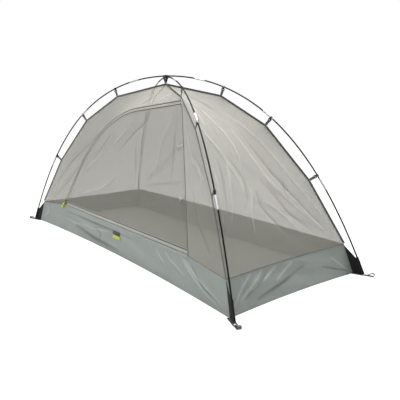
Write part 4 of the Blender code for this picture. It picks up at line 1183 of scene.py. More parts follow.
# Creases of the pan's walls: shares of the width and height, then rows and columns in hundredths
wall_creases = {
    # The strongest creases run from the foot of the door's seam to the front corner.
    "front": (
        (1, 2, 90, 80, 67, 82, 43, 86.7, 23, 91.4, 12, 95),
        (1, 1.7, 80, 81, 50, 87.5, 30, 94.5, 12, 99),
        (1, -1, 75, 84, 35, 90, 20, 96),
        (1, 1.3, 80, 74, 63, 75.8, 50, 78.9, 36, 81.5),
        (1, 1, 74, 70, 63, 71.1, 45, 74),
        (1, 1.2, 48, 22, 47, 25, 43, 28, 51, 36, 50, 39),
        (1, 1.2, 50, 38, 58, 43, 63, 48),
        (0.8, -1.3, 60, 40, 53, 42, 43, 43.8, 20, 42),
        (2.4, -1.6, 36, 28, 17, 39, 13, 53),
        (1.2, -1.4, 72, 20, 74, 33, 72, 45, 74, 60),
        (1.5, 1, 90, 3, 50, 6, 15, 3),
    ),
    # Long creases climb from the front corner towards the middle of the end wall.
    "right": (
        (1, 1.5, 94, 18, 64, 10, 41, 6.2, 20, 3),
        (1, 1.8, 93, 27, 75, 23, 50, 14, 30, 8),
        (1, 1.8, 93, 39, 70, 30, 45, 17),
        (1.2, 1.4, 90, 52, 68, 43.8, 50, 36),
        (2, -1.5, 70, 62, 40, 42, 15, 20),
        (1, -1.2, 85, 32, 60, 24, 30, 11),
        (1, 0.7, 12, 97, 70, 85),
        (1, -0.7, 12, 97, 50, 75),
    ),
}


def wall_lines(side, depth):
    """Creases of one pan wall: the photograph's own, or a fan out of both corners."""
    if side in wall_creases:
        return traced(wall_creases[side], crease_width, depth)
    lines = []
    for corner, sign in ((0.03, 1), (0.97, -1)):
        ends = [(0.85, corner + sign * 0.06), (0.6, corner + sign * 0.15), (0.4, corner + sign * 0.24)]
        lines += fan((0.1, corner), ends, crease_width, depth)
    return lines


def wall_grid(side):
    """Outer surface of a pan wall from foot to top edge, and the turns of the rolled hem."""
    top = along(top_edge(side), wall_counts[side])
    axis = 0 if side in ("front", "rear") else 1
    shares = (top[:, axis] - top[0][axis]) / (top[-1][axis] - top[0][axis])
    foot = as_array([floor_edge(share, side) + up * pan_floor for share in shares])
    rises = list(np.linspace(0, 1, wall_rows + 1))
    turns = []
    if side == "front":
        turns = [math.pi * step / 8 for step in range(9)]
        hem_share = hem_width / (sill_height - pan_floor)
        rises = list(np.linspace(0, 1 - hem_share, wall_rows + 1))[:-1]
        rises += [1 - hem_share * (1 + math.cos(turn)) / 2 for turn in turns]
    rises = np.array(rises)[:, None]
    grid = foot[None] * (1 - rises[..., None]) + top[None] * rises[..., None]
    wave = np.sin(2 * math.pi * (pan_folds[side] * shares[None] + pan_fold_slant * rises))
    depth = pan_fold_depth * wave * np.sin(math.pi * rises) * np.sin(math.pi * shares[None])
    grid += np.array(sides[side][2]) * depth[..., None]
    grid, marks = crease(grid, sides[side][2], wall_lines(side, bpy.context.scene.tent_sizes.pan_crease))
    return grid, marks, turns


class TENT_OT_pan(bpy.types.Operator):
    """Sew the bathtub pan: floor, four walls, corner seams and piped edges"""

    bl_idname = "tent.pan"
    bl_label = "Pan"

    def execute(self, context):
        """Builds the floor, the walls and the piping of the pan."""
        for side, (low, high, out) in sides.items():
            grid, marks, turns = wall_grid(side)
            toward = -1 if side in ("front", "rear") else 1
            for column, arm in ((0, low), (-1, high)):
                grid[:, column] += np.array(arms[arm].to_end) * toward * clearance / 2
            normals = grid_normals(grid, out)
            normals[[0, -1]] = unit(normals[[0, -1]] * (1, 1, 0))
            inner = grid - normals * pan_cloth
            if side == "front":
                first, last = wall_counts[side][0], sum(wall_counts[side][:2])
                for row, turn in enumerate(turns, len(grid) - len(turns)):
                    grid[row, first : last + 1] += np.array(out) * hem_bulge * math.sin(turn)
            wall = cloth_solid(f"{side}_pan_wall", grid, inner, "pan", marks)
            settle(wall, "tent", [f"pan_wall_{side}"])
        self.floor()
        self.edges(context.scene.tent_sizes.piping)
        return {"FINISHED"}

    def floor(self):
        """The floor lies flat but for low crumples that the folded cloth keeps."""
        columns, rows = 128, 48
        grid = np.zeros((rows + 1, columns + 1, 3))
        rims = {"front": grid[0], "rear": grid[-1], "left": grid[:, 0], "right": grid[:, -1]}
        for side, rim in rims.items():
            rim[:] = as_array([floor_edge(share, side) for share in np.linspace(0, 1, len(rim))])
        for corner in ((0, 0), (0, -1), (-1, 0), (-1, -1)):
            spot = grid[corner]
            grid[corner] = spot * (1 - floor_corner_cut / np.linalg.norm(spot))
        grid = stretch(grid, rows, columns)
        down, across = shares_of(grid)
        swell = np.sin(9 * across + 2.3 * np.sin(5 * down)) * np.sin(7 * down + 1.7 * np.sin(8 * across))
        crumple = np.abs(swell) * floor_crumple * held_edges(grid, 16)
        lower, upper = grid.copy(), grid.copy()
        lower[..., 2] = crumple
        upper[..., 2] = crumple + floor_cloth
        floor = cloth_solid("pan_floor", upper, lower, "floor")
        settle(floor, "tent", ["floor_sheet"])

    def edges(self, radius):
        """Piping on the pan's top edges and taped seams down its corners."""
        tops = [top_edge(side) for side in ("rear", "left", "right")]
        lines = [resample([p + up * piping_lift for p in top], 48) for top in tops]
        front = [resample(pair, 12) for pair in (top_edge("front")[:2], top_edge("front")[2:])]
        piped = [
            turned(f"piping_{n}", line, [radius] * len(line), "binding", 8)
            for n, line in enumerate(lines + front)
        ]
        settle(join("pan_edge_piping", piped), "tent")
        seams = []
        for arm in arms.values():
            heights = np.linspace(pan_floor, pan_height, 9)
            line = [arm.place(corner_line(z) + corner_seam_lift, z) for z in heights]
            seams.append(turned(f"seam_{arm.name}", line, [corner_seam_radius] * len(line), "binding", 8))
        settle(join("pan_corner_seams", seams), "tent")
        # A row of stitches holds the rolled hem under the door.
        edge = as_array(top_edge("front")[1:3]) + (0, 0, -hem_stitch_drop)
        row = spread(*edge, 40)
        stitches("sill_hem_stitches", [row], (0, -1, 0), pan_cloth * 2, "tent")


# The net


def ridge_points(arm, toward_end, start, counts, first=0):
    """Points down a side of a ridge, from a distance past its apex or another of its corners."""
    aside = ridge_side if toward_end else -ridge_side
    line = [Vector(point) for point in arm.ridge()[first:]]
    line[0] = line[0] + (line[1] - line[0]).normalized() * start
    return along([arm.place(*point, aside) for point in line], counts)


def side_panel(side, rows_per_span, columns_per_station):
    """A whole net panel between two ridges and the pan's top edge, from the apex down."""
    low, high, out = sides[side]
    toward_end = side in ("left", "right")
    first = ridge_points(arms[low], toward_end, net_start, (rows_per_span,) * 4)
    last = ridge_points(arms[high], toward_end, net_start, (rows_per_span,) * 4)
    bottom = along(top_edge(side), (columns_per_station,) * edge_stations)
    grid = np.zeros((len(first), len(bottom), 3))
    grid[0] = spread(first[0], last[0], len(bottom) - 1)
    grid[-1] = bottom
    grid[:, 0], grid[:, -1] = first, last
    grid = stretch(grid, 16, edge_stations)
    if toward_end:
        down, across = shares_of(grid)
        wave = np.sin(2 * math.pi * (net_end_folds * across + down))
        depth = net_fold_depth * wave * np.sin(math.pi * down) * np.sin(math.pi * across)
        grid += np.array(out) * depth[..., None]
    return grid


def front_panel():
    """The net round the door, from the left pan corner over the apex to the first right node."""
    line = zip_line(zip_edge, clearance)[1:]
    inner = [door_point(*point, net_cloth / 2) for point in line]
    inner = along(inner, (50,) + (1,) * shoulder_steps + (48,))
    rows, head = len(inner) - 1, 48
    left, front = arms["left"], arms["front"]
    up_left = ridge_points(left, False, 0, ((rows - head) // 4,) * 4)[::-1]
    down_right = ridge_points(front, False, 0, (head, 1, 1, 1))[: head + 1]
    peak = np.array([0, -ridge_side / math.cos(diagonal_angle), ridge_apex])
    outer = np.concatenate([up_left[:-1], [peak], down_right[1:]])
    columns = 56
    grid = np.zeros((rows + 1, columns + 1, 3))
    grid[:, 0], grid[:, -1] = outer, inner
    grid[0] = spread(pan_corner("left"), top_edge("front")[1], columns)
    grid[-1] = spread(outer[-1], inner[-1], columns)
    return stretch(grid, 21, 5)


def seam_line(aside, out, rows):
    """Points down a line on the right of the hinge axis, from beside the ridge to the sill."""
    front = arms["front"]
    start = seam_head - seam_to_door * aside
    head = door_point(*start, out)
    clear = -ridge_side - seam_thickness
    top = head + seam_way * (clear - head.dot(front.to_end)) / seam_way.dot(front.to_end)
    foot = crossing(start, seam_down, Vector((0, clearance)), Vector((1, 0)))
    return spread(top, door_point(*foot, out), rows)


def front_strip():
    """The narrow net between the hinge seam and the right ridge."""
    rows, columns = 144, 32
    seam_side = seam_line(seam_setback + seam_width, net_cloth / 2, rows)
    start = float(np.linalg.norm(seam_side[0] - np.array(node_place)))
    ridge_edge = ridge_points(arms["front"], False, start, (rows // 3,) * 3, 1)
    grid = np.zeros((rows + 1, columns + 1, 3))
    grid[:, 0], grid[:, -1] = seam_side, ridge_edge
    grid[0] = spread(seam_side[0], ridge_edge[0], columns)
    grid[-1] = spread(top_edge("front")[2], pan_corner("front"), columns)
    return stretch(grid, 12, 4)


# Folds of the net panels: width in mm, up or down, then rows and columns in hundredths
net_folds = {
    # Some hang as loops from the second hook, long ones run down to the rear corner.
    "right": (
        (12, 1, 20, 36, 32, 43, 41, 46, 47, 48, 54, 48, 60, 46, 66, 41),
        (12, -1, 27, 42, 46, 36, 54, 35),
        (12, 1, 48, 14, 60, 26, 66, 31, 70, 34, 73, 34, 80, 30),
        (12, -1, 58, 30, 64, 37, 68, 39, 72, 39, 78, 34),
        (12, 1, 40, 10, 51, 17, 57, 24, 62, 26, 68, 24, 74, 20, 85, 13),
        (12, -1, 60, 18, 68, 17, 82, 11),
        (10.8, 1, 64, 10, 71, 9, 86, 6),
        (10.8, -1, 70, 3, 84, 3, 95, 3),
        (12, 1, 34, 76, 47, 81, 61, 84, 69, 85, 75, 87, 88, 95, 98, 98.5),
        (13.2, -1, 48, 70, 57, 70, 68, 72, 78, 78, 88, 86, 97, 96),
        (19.2, 1, 44, 60, 60, 60, 72, 64, 84, 76, 93, 88),
        (9.6, 1, 70, 42, 76, 40, 83, 33, 90, 30),
        (10.8, -1, 74, 46, 80, 44, 85, 49, 92, 58),
        (12, 1, 78, 50, 83, 57, 86, 62, 93, 70),
        (12, -1, 70, 56, 77, 62, 84, 66, 93, 79),
        (9.6, 1, 84, 80, 90, 85, 98, 93),
        (9.6, -1, 72, 78, 80, 72),
        (16.8, 1, 12, 20, 30, 24, 44, 22),
        (19.2, -1, 10, 60, 26, 66, 40, 68),
    ),
    "front": (
        (11, 1, 2, 20, 16, 60, 34, 97),
        (11, -1, 3, 40, 12, 70, 24, 97),
        (14, -1, 5, 10, 24, 45, 46, 96),
        (11, -1, 80, 5, 78.5, 50, 77, 98),
        (10, 1, 77, 3, 80, 40, 83, 85),
        (12, 1, 90, 10, 87, 85),
    ),
    "door": (
        (12, 1, 30, 98.5, 39, 96, 54, 88, 62, 80),
        (12, -1, 56, 90, 70, 87, 87, 82),
        (12, 1, 70, 74, 74, 71, 89, 57),
        (14, 1, 30, 35, 55, 38, 73, 41, 96, 39),
        (12, -1, 68, 46, 55, 43, 40, 40),
        (16, 1, 97, 6, 70, 20, 45, 24),
        (14, -1, 95, 4, 72, 8, 40, 10),
        (18, 1, 12, 92, 25, 70, 40, 58),
        (16, -1, 97, 30, 80, 52, 62, 66),
    ),
    "strip": (
        (10, 1, 20, 40, 45, 55, 60, 90),
        (10, -1, 40, 60, 55, 92, 72, 95),
        (10, 1, 42, 50, 52, 80, 68, 74),
        (12, -1, 60, 30, 80, 40, 93, 70),
    ),
}


def net_lines(side, height):
    """Tension folds of one net panel: the photograph's own, or a fan out of both low corners."""
    if side in net_folds:
        return traced(net_folds[side], millimetre, height * (0.9 if side == "door" else 1))
    corner, width, ends = {
        "left": (0.02, 0.014, ((0.35, 0.5), (0.45, 0.3), (0.55, 0.55), (0.7, 0.4))),
        "rear": (0.01, 0.015, ((0.35, 0.30), (0.5, 0.22), (0.6, 0.36), (0.75, 0.25), (0.85, 0.40))),
    }[side]
    lines = fan((0.97, corner), ends, width, height)
    lines += fan((0.97, 1 - corner), [(row, 1 - column) for row, column in ends], width, height)
    if side == "rear":
        lines += fan((0.03, 0.5), ((0.6, 0.36), (0.7, 0.45), (0.7, 0.56), (0.6, 0.65)), 0.014, height)
    return lines


def door_grid():
    """The door's net between the hinge seam, the sill zip, the leg zip and the head zip."""
    line = zip_line(-zip_edge, clearance)
    foot, corner, arc, head = line[0], line[1], line[2:-1], line[-1]
    half = len(arc) // 2
    rows, columns = 160, 240
    grid = np.zeros((rows + 1, columns + 1, 3))
    for rim, edge in (
        (grid[0], [foot, corner]),
        (grid[-1], [head] + arc[half:][::-1]),
        (grid[:, 0], [foot, head]),
        (grid[:, -1], [corner] + arc[: half + 1]),
    ):
        rim[:] = as_array([door_point(*point, 0) for point in resample(edge, len(rim) - 1)])
    return stretch(grid, rows, columns)


class TENT_OT_netting(bpy.types.Operator):
    """Hang the net: four panels, the strip beside the door and the door itself"""

    bl_idname = "tent.netting"
    bl_label = "Netting"

    def execute(self, context):
        """Builds each panel as one skin, with the folds that its corners pull into it."""
        height = context.scene.tent_sizes.net_crease
        panels = (
            ("rear_net", side_panel("rear", 24, 24), "rear", "rear_net_panel"),
            ("left_net", side_panel("left", 24, 12), "left", "left_net_panel"),
            ("right_net", side_panel("right", 48, 32), "right", "right_net_panel"),
            ("front_net", front_panel(), "front", "front_net_panel"),
            ("side_strip_net", front_strip(), "strip", "front_net_strip"),
            ("door_panel_net", door_grid(), "door", "door_net"),
        )
        for name, grid, side, node in panels:
            out = sides[side][2] if side in sides else sides["front"][2]
            grid, marks = crease(grid, out, net_lines(side, height))
            # The door takes the darker copy of the net, which is painted shade.
            net = net_sheet(name, grid, out, "shaded_door_netting" if side == "door" else "netting")
            mark_folds(net, marks)
            settle(net, "door" if side == "door" else "tent", [node])
        middle = panels[0][1][:, 96] + (0, panel_seam_radius, 0)
        seam = turned("rear_panel_seam", middle, [panel_seam_radius] * len(middle), "netting", 6)
        settle(seam, "tent")
        return {"FINISHED"}


# Bindings and seams


class TENT_OT_bindings(bpy.types.Operator):
    """Bind both ridges and the door's hinge seam with folded tape and two rows of stitches"""

    bl_idname = "tent.bindings"
    bl_label = "Bindings"

    def execute(self, context):
        """Builds the folded tapes and the stitches through them."""
        for name, arm in (("long", arms["right"]), ("cross", arms["front"])):
            whole = [(-reach, height) for reach, height in arm.ridge()[:0:-1]]
            whole = [Vector(point) for point in whole + arm.ridge()]
            for end, near in ((0, 1), (-1, -2)):
                whole[end] = whole[end] + (whole[near] - whole[end]).normalized() * ridge_tape_end
            path = as_array(self.moved(arm, whole, (ridge_tape_outer - ridge_tape_inner) / 2))
            section = rounded(ridge_tape_outer + ridge_tape_inner, ridge_tape_cloth, tape_corner)
            # A tape on edge, mitred where the ridge turns at a strap
            counts = [max(2, round(length / ridge_tape_step)) for length in np.diff(arc_lengths(path))]
            fine = along(path, counts)
            tape = sweep(f"{name}_ridge_tape", fine, arm.to_end, section[:, ::-1], "binding")
            settle(tape, "tent", ["ridge_binding"] if name == "long" else [])
            rows = [self.moved(arm, whole, level) for level in ridge_stitch_levels]
            stitches(f"{name}_ridge_stitches", rows, arm.to_end, ridge_tape_cloth, "tent")
        path = seam_line(seam_setback + seam_width / 2, 0, 60)
        section = rounded(seam_width, seam_thickness, tape_corner)
        tape = sweep("hinge_seam_tape", path, door_way, section, "binding")
        settle(tape, "tent")
        stitches("hinge_seam_stitches", [path], door_out, seam_thickness, "tent")
        return {"FINISHED"}

    def moved(self, arm, line, distance):
        """A polyline in the ridge's plane, moved to its outer side and put in place."""
        made = []
        ways = [(b - a).normalized() for a, b in zip(line, line[1:])]
        for n, point in enumerate(line):
            before, after = ways[max(n - 1, 0)], ways[min(n, len(ways) - 1)]
            square = Vector((-before.y - after.y, before.x + after.x)).normalized()
            spot = point + square * distance / square.dot(Vector((-after.y, after.x)))
            made.append(arm.place(*spot))
        return made


# Zip


def zip_solid(name, sign, seam_gap):
    """One woven tape of the zip, with a raised line where its hem is sewn."""
    line, reach = hem_line
    near, far = zip_tape_steps
    offsets = (zip_tape_inner, near, line - reach, line, line + reach, far, zip_outer)
    lifts = (0, 0, 0, hem_line_lift, 0, 0, 0)
    half = zip_tape_thickness / 2
    counts = (150, 64) + (1,) * shoulder_steps + (40,)
    flat = [along(zip_line(sign * offset, seam_gap), counts) for offset in offsets]
    outer = [as_array([door_point(*p, half + lift) for p in line]) for line, lift in zip(flat, lifts)]
    inner = [as_array([door_point(*p, -half) for p in line]) for line in flat]
    tape = "frame_tape" if sign > 0 else "door_tape"
    return cloth_solid(name, np.stack(outer, axis=1), np.stack(inner, axis=1), tape)


def zip_uv(obj, seam_gap):
    """UV along the zip and across it, so that the tape's edge can be told from its middle."""
    spots = flattened(obj, sill_middle, door_side, door_up)
    gap, run = nearest_on(as_array(zip_line(0, seam_gap)), spots)
    write_uv(obj, np.stack([run, gap], axis=1))


def zip_path(offset, seam_gap):
    """The zip's line at an offset, in the door's plane."""
    return [door_point(*point, 0) for point in zip_line(offset, seam_gap)]


class TENT_OT_zip(bpy.types.Operator):
    """Fit the D-shaped zip: two woven tapes and the turns of two coils"""

    bl_idname = "tent.zip"
    bl_label = "Zip"

    def execute(self, context):
        """Builds the tent's half and the door's half of the zip."""
        pitch = context.scene.tent_sizes.coil_pitch
        for name, sign, body, seam_gap in (
            ("frame", 1, "tent", frame_seam_gap),
            ("door", -1, "door", door_seam_gap),
        ):
            tape = zip_solid(f"{name}_zip_tape", sign, seam_gap)
            zip_uv(tape, seam_gap)
            settle(tape, body, [f"zip_{name}_side"])
            size = (pitch * coil_turn[0], *coil_turn[1:])
            path = zip_path(sign * coil_middle, frame_seam_gap)
            coil = repeated(f"{name}_zip_coil", [path], size, pitch, door_out, "coil")
            settle(coil, body)
            row = zip_path(sign * hem_line[0], seam_gap)
            stitches(f"{name}_zip_stitches", [row], door_out, zip_tape_thickness, body)
        return {"FINISHED"}


def node_copy(name, node, material, bevel):
    """A CAD node's own shape as a new piece, with its edges rounded as a mould leaves them."""
    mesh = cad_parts[node].data.copy()
    made = placed(name, mesh)
    work = bmesh.new()
    work.from_mesh(mesh)
    bmesh.ops.remove_doubles(work, verts=work.verts, dist=clearance / 10)
    bmesh.ops.dissolve_limit(work, angle_limit=math.radians(1), verts=work.verts, edges=work.edges)
    work.to_mesh(mesh)
    work.free()
    mesh.materials.clear()
    mesh.materials.append(finishes[material])
    change = made.modifiers.new("edges", "BEVEL")
    change.width = bevel
    change.segments = 2
    change.limit_method = "ANGLE"
    return smooth(apply_modifiers(made), 35)


def slider_place(centre, way):
    forward = (door_side * way.x + door_up * way.y).normalized()
    return frame_at(door_point(centre.x, centre.y, 0), forward.cross(door_out), forward)


class TENT_OT_sliders(bpy.types.Operator):
    """Fit both zip sliders, the lime cord loop and the plain pull tab"""

    bl_idname = "tent.sliders"
    bl_label = "Sliders and pulls"

    def execute(self, context):
        """Builds the sliders and pulls on their own bodies."""
        for name in ("leg_slider", "sill_slider", "sill_pull"):
            bevel = tab_bevel if name == "sill_pull" else slider_bevel
            made = node_copy(f"{name}_moulding", name, "plastic", bevel)
            settle(made, name, [name])
        corner = zip_line(0, clearance)[1]
        place = slider_place(corner + leg_way * slider_gap, leg_way)
        strand = pull_inner_radius + pull_strand / 2
        hang = Matrix.Translation(up * pull_level) @ Matrix.Rotation(math.pi, 4, "X")
        loop_place = place @ hang @ Matrix.Translation((0, strand, 0))
        line = in_place(loop_place, belt(strand, strand, pull_loop_length))
        across = loop_place.to_3x3() @ up
        cord = sweep("lime_pull_cord", line, across, circle(pull_strand / 2, 12), "lime", loop=True)
        settle(cord, "leg_pull", ["leg_pull"])
        # A short sleeve holds the two strands together below the bail.
        ends = [loop_place @ Vector((0, y, -pull_grip_lift)) for y in pull_grip_steps]
        grip = rounded(*pull_grip, pull_grip_corner, 4)
        side = loop_place.to_3x3() @ Vector((1, 0, 0))
        scales = [(0.9, 0.8), (1, 1), (1, 1), (0.9, 0.8)]
        sleeve = sweep("lime_pull_grip", ends, side, grip, "lime", scales=scales)
        settle(sleeve, "leg_pull")
        return {"FINISHED"}


class TENT_OT_tiebacks(bpy.types.Operator):
    """Sew on the two tabs with toggles that tie the rolled door"""

    bl_idname = "tent.tiebacks"
    bl_label = "Tie-backs"

    def execute(self, context):
        """Builds each folded tab round its toggle."""
        seam_length = (seam_foot - seam_head).length
        far = toggle_radius + tieback_ply / 2
        lean = math.asin(toggle_radius / tieback_length)
        way = door_way * math.cos(lean) + door_out * math.sin(lean)
        for name, share in zip(("upper", "lower"), tieback_shares):
            spot = seam_head + seam_down * seam_length * share + seam_to_door * tieback_setback
            root = door_point(*spot, net_cloth / 2 + clearance + tieback_ply)
            place = frame_at(root, way.cross(seam_way), way)
            line = in_place(place, belt(tieback_ply / 2, far, tieback_length, 8))
            section = rounded(tieback_width, tieback_ply, ply_corner)
            tab = sweep(f"{name}_tieback_tab", line, seam_way, section, "pale_strap", loop=True)
            settle(tab, f"tieback_{name}", [f"tieback_{name}"])
            middle = root + way * tieback_length
            shares = (-0.5, -0.485, -0.45, -0.36, -0.2, 0, 0.2, 0.36, 0.45, 0.485, 0.5)
            sizes = (0.35, 0.75, 1, 1, 0.93, 0.9, 0.93, 1, 1, 0.75, 0.35)
            ends = [middle + seam_way * toggle_length * s for s in shares]
            radii = [toggle_radius * size for size in sizes]
            toggle = turned(f"{name}_toggle", ends, radii, "toggle", 16)
            settle(toggle, f"tieback_{name}")
        return {"FINISHED"}


# Poles


class TENT_OT_poles(bpy.types.Operator):
    """Bend the two poles: seven glass fibre rods each, bright ferrules and metal tips"""

    bl_idname = "tent.poles"
    bl_label = "Poles"

    def execute(self, context):
        """Builds the rods along each pole's curve, and slides the ferrules over their joints."""
        for pole, first, last in ((upper_pole, "left", "right"), (lower_pole, "rear", "front")):
            ends = [-pole.half] + pole.joints() + [pole.half]
            lines = [pole.path(a + clearance / 2, b - clearance / 2) for a, b in zip(ends, ends[1:])]
            values = {"Radius": rod_radius, "Sides": 16, "Finish": finishes["rod"]}
            rods = grown(f"{pole.name}_rods", lines, trees["rod"], values)
            nodes = [f"{pole.name}_section_{n}" for n in range(1, rods_per_pole + 1)]
            settle(face_out(rods), "tent", nodes)
            sleeves = [self.ferrule(pole, joint, n) for n, joint in enumerate(pole.joints())]
            settle(join(f"{pole.name}_ferrules", sleeves), "tent")
            tips = [self.tip(arms[first]), self.tip(arms[last])]
            settle(join(f"{pole.name}_tips", tips), "tent")
        return {"FINISHED"}

    def ferrule(self, pole, joint, number):
        """A drawn steel sleeve with rolled ends and two crimps."""
        half = ferrule_length / 2
        arcs = [-half, -half + 0.0008, -half + 0.0030, -0.0165, -0.0150, -0.0135, 0]
        sizes = [0.90, 1.0, 1.0, 1.0, 0.955, 1.0, 1.0]
        arcs += [-arc for arc in arcs[-2::-1]]
        sizes += sizes[-2::-1]
        path = [pole.point(joint + arc) for arc in arcs]
        return turned(f"ferrule_{number}", path, [ferrule_radius * size for size in sizes], "ferrule", 24)

    def tip(self, arm):
        """The turned tip that stands in the corner's grommet."""
        reach, height = arm.pole.at(arm.pole.half)
        outward_reach, outward_up = arm.pole.outward(reach)
        down = arm.out * outward_up - up * outward_reach
        length = (height - tip_ground_gap - tip_ball_radius * outward_up) / outward_reach
        collar, neck, ball = tip_collar_radius, tip_neck_radius, tip_ball_radius
        profile = (
            (0.0002, collar * 0.94),
            (0.0006, collar),
            (0.0060, collar),
            (0.0080, collar * 0.85),
            (0.0103, neck),
            (0.0220, neck),
            (0.0235, ball * 0.95),
            (0.0246, ball),
            (length - ball, ball),
            (length - ball * 0.4, ball * 0.85),
            (length, neck / 2),
        )
        start = arm.place(reach, height)
        path = [start + down * distance for distance, _ in profile]
        return turned(f"tip_{arm.name}", path, [radius for _, radius in profile], "ferrule", 20)


# Straps and hooks


def hook_shape(name, held_radius, place):
    """A moulded C-hook on a slotted plate."""
    ring = (0, held_radius + clearance - hook_inner_radius)
    outer_radius = hook_inner_radius + hook_wall
    outline = arc_points(ring, outer_radius, *hook_mouth, 28)
    # A rounded lip ends each jaw.
    outline += arc_points(ring, hook_inner_radius, *hook_mouth[::-1], 28)
    grip = plate(name, [outline], hook_width, place, "plastic", 0.0006)
    foot, head = -hook_plate_foot, ring[1] - hook_inner_radius - hook_wall * 0.45
    half, slot_half = hook_plate_width / 2, strap_width / 2 + 0.0005
    turn = place @ Matrix.Rotation(math.radians(90), 4, "Y")
    corner = 0.0022
    shape = [(-half, head), (-half, foot + corner)]
    shape += arc_points((-half + corner, foot + corner), corner, 180, 270, 4)[1:]
    shape += arc_points((half - corner, foot + corner), corner, 270, 360, 4)
    shape += [(half, head), (half * 0.62, head), (-half * 0.62, head)]
    slot = oblong(-slot_half, -hook_slot[0], slot_half, -hook_slot[1])
    back = plate(f"{name}_plate", [shape, slot], hook_plate_thickness, turn, "plastic", 0.0005)
    change = back.modifiers.new("join", "BOOLEAN")
    change.operation = "UNION"
    change.solver = "EXACT"
    change.object = grip
    made = apply_modifiers(back)
    bpy.data.objects.remove(grip)
    made.name = name
    return smooth(made)


class TENT_OT_clips(bpy.types.Operator):
    """Hang the ridges from the poles: twelve webbing straps with moulded hooks"""

    bl_idname = "tent.clips"
    bl_label = "Straps and hooks"

    def execute(self, context):
        """Builds a strap and a hook for each clip body."""
        for arm in arms.values():
            for number, share in enumerate(clip_shares, 1):
                self.clip(arm, number, share)
        return {"FINISHED"}

    def clip(self, arm, number, share):
        """The strap runs up from the ridge, round the bar of the hook, and back down."""
        pole = arm.pole
        reach, height = pole.at(share * pole.half)
        along_reach, along_up = pole.outward(reach)
        out = arm.out * along_reach + up * along_up
        mouth = -arm.to_end
        centre = arm.place(reach, height)
        nearest = min(abs(share * pole.half - joint) for joint in pole.joints())
        held_radius = ferrule_radius if nearest < ferrule_length / 2 else rod_radius
        body = f"clip_{arm.name}_{number}"
        hook = hook_shape(f"hook_{arm.name}_{number}", held_radius, frame_at(centre, mouth, out))
        settle(hook, body, [body])
        bar = -(hook_plate_foot + hook_slot[0]) / 2
        root = ridge_tape_outer + clearance + strap_ply - strap_reach
        length = bar - root
        ply = strap_ply / 2
        split = length - strap_split
        line = [(ply, 0.0), (ply, split / 2), (ply, split)]
        line += arc_points((0, length), strap_loop_radius - ply, 0, 180, 12)
        line += [(-ply, split), (-ply, split / 2), (-ply, 0.0)]
        line += arc_points((0, 0), ply, 180, 360, 4)[1:-1]
        place = frame_at(centre + out * root, mouth, out)
        section = rounded(strap_width, strap_ply * 0.96, ply_corner)
        line, across = in_place(place, line), mouth.cross(out)
        strap = sweep(f"strap_{arm.name}_{number}", line, across, section, "strap", loop=True)
        settle(strap, body)
        half = strap_width / 2 - strap_stitch_inset
        rows = [[place @ Vector((0, y, s * half)) for s in (-1, 1)] for y in (strap_stitch_foot, split)]
        stitches(f"strap_stitches_{arm.name}_{number}", rows, mouth, strap_ply * 2, body)


class TENT_OT_apex_strap(bpy.types.Operator):
    """Tie the ridges' crossing to the crossing of the poles"""

    bl_idname = "tent.apex_strap"
    bl_label = "Apex strap"

    def execute(self, context):
        """Builds the webbing loop, which narrows towards the net."""
        foot = ridge_apex + ridge_tape_outer + 2 * clearance + apex_loop_foot + apex_strap_ply
        rise = upper_apex - foot
        aside = apex_strap_width / 2 * math.tan(diagonal_angle) + apex_loop_slack
        top = rod_radius + clearance + apex_strap_ply / 2
        bottom = apex_loop_foot + apex_strap_ply / 2
        lean = math.atan2(rise, aside) - math.acos((bottom - top) / math.hypot(aside, rise))
        lean = math.degrees(lean)
        line = arc_points((aside, rise), top, lean, 90, 8)
        line += arc_points((-aside, rise), top, 90, 180 - lean, 8)
        line += list(resample([line[-1], (-bottom, apex_loop_knee)], 6)[1:-1])
        line += arc_points((0, 0), bottom, 180 - lean, 360 + lean, 8)
        line += list(resample([line[-1], line[0]], 7)[1:-1])
        place = frame_at(Vector((0, 0, foot)), Vector((0, 1, 0)), up)
        scales = [(0.72 + 0.28 * min(1, max(0, y / rise)), 1) for _, y in line]
        section = rounded(apex_strap_width, apex_strap_ply * 0.97, tape_corner)
        line, across = in_place(place, line), Vector((0, 1, 0)).cross(up)
        strap = sweep("apex_webbing_loop", line, across, section, "dark_strap", loop=True, scales=scales)
        settle(strap, "tent", ["apex_strap"])
        half = apex_strap_width * 0.30
        row = [place @ Vector((0, apex_stitch_rise, s * half)) for s in (-1, 1)]
        stitches("apex_strap_stitches", [row], (0, 1, 0), apex_strap_ply * 4, "tent")
        return {"FINISHED"}


# Corners


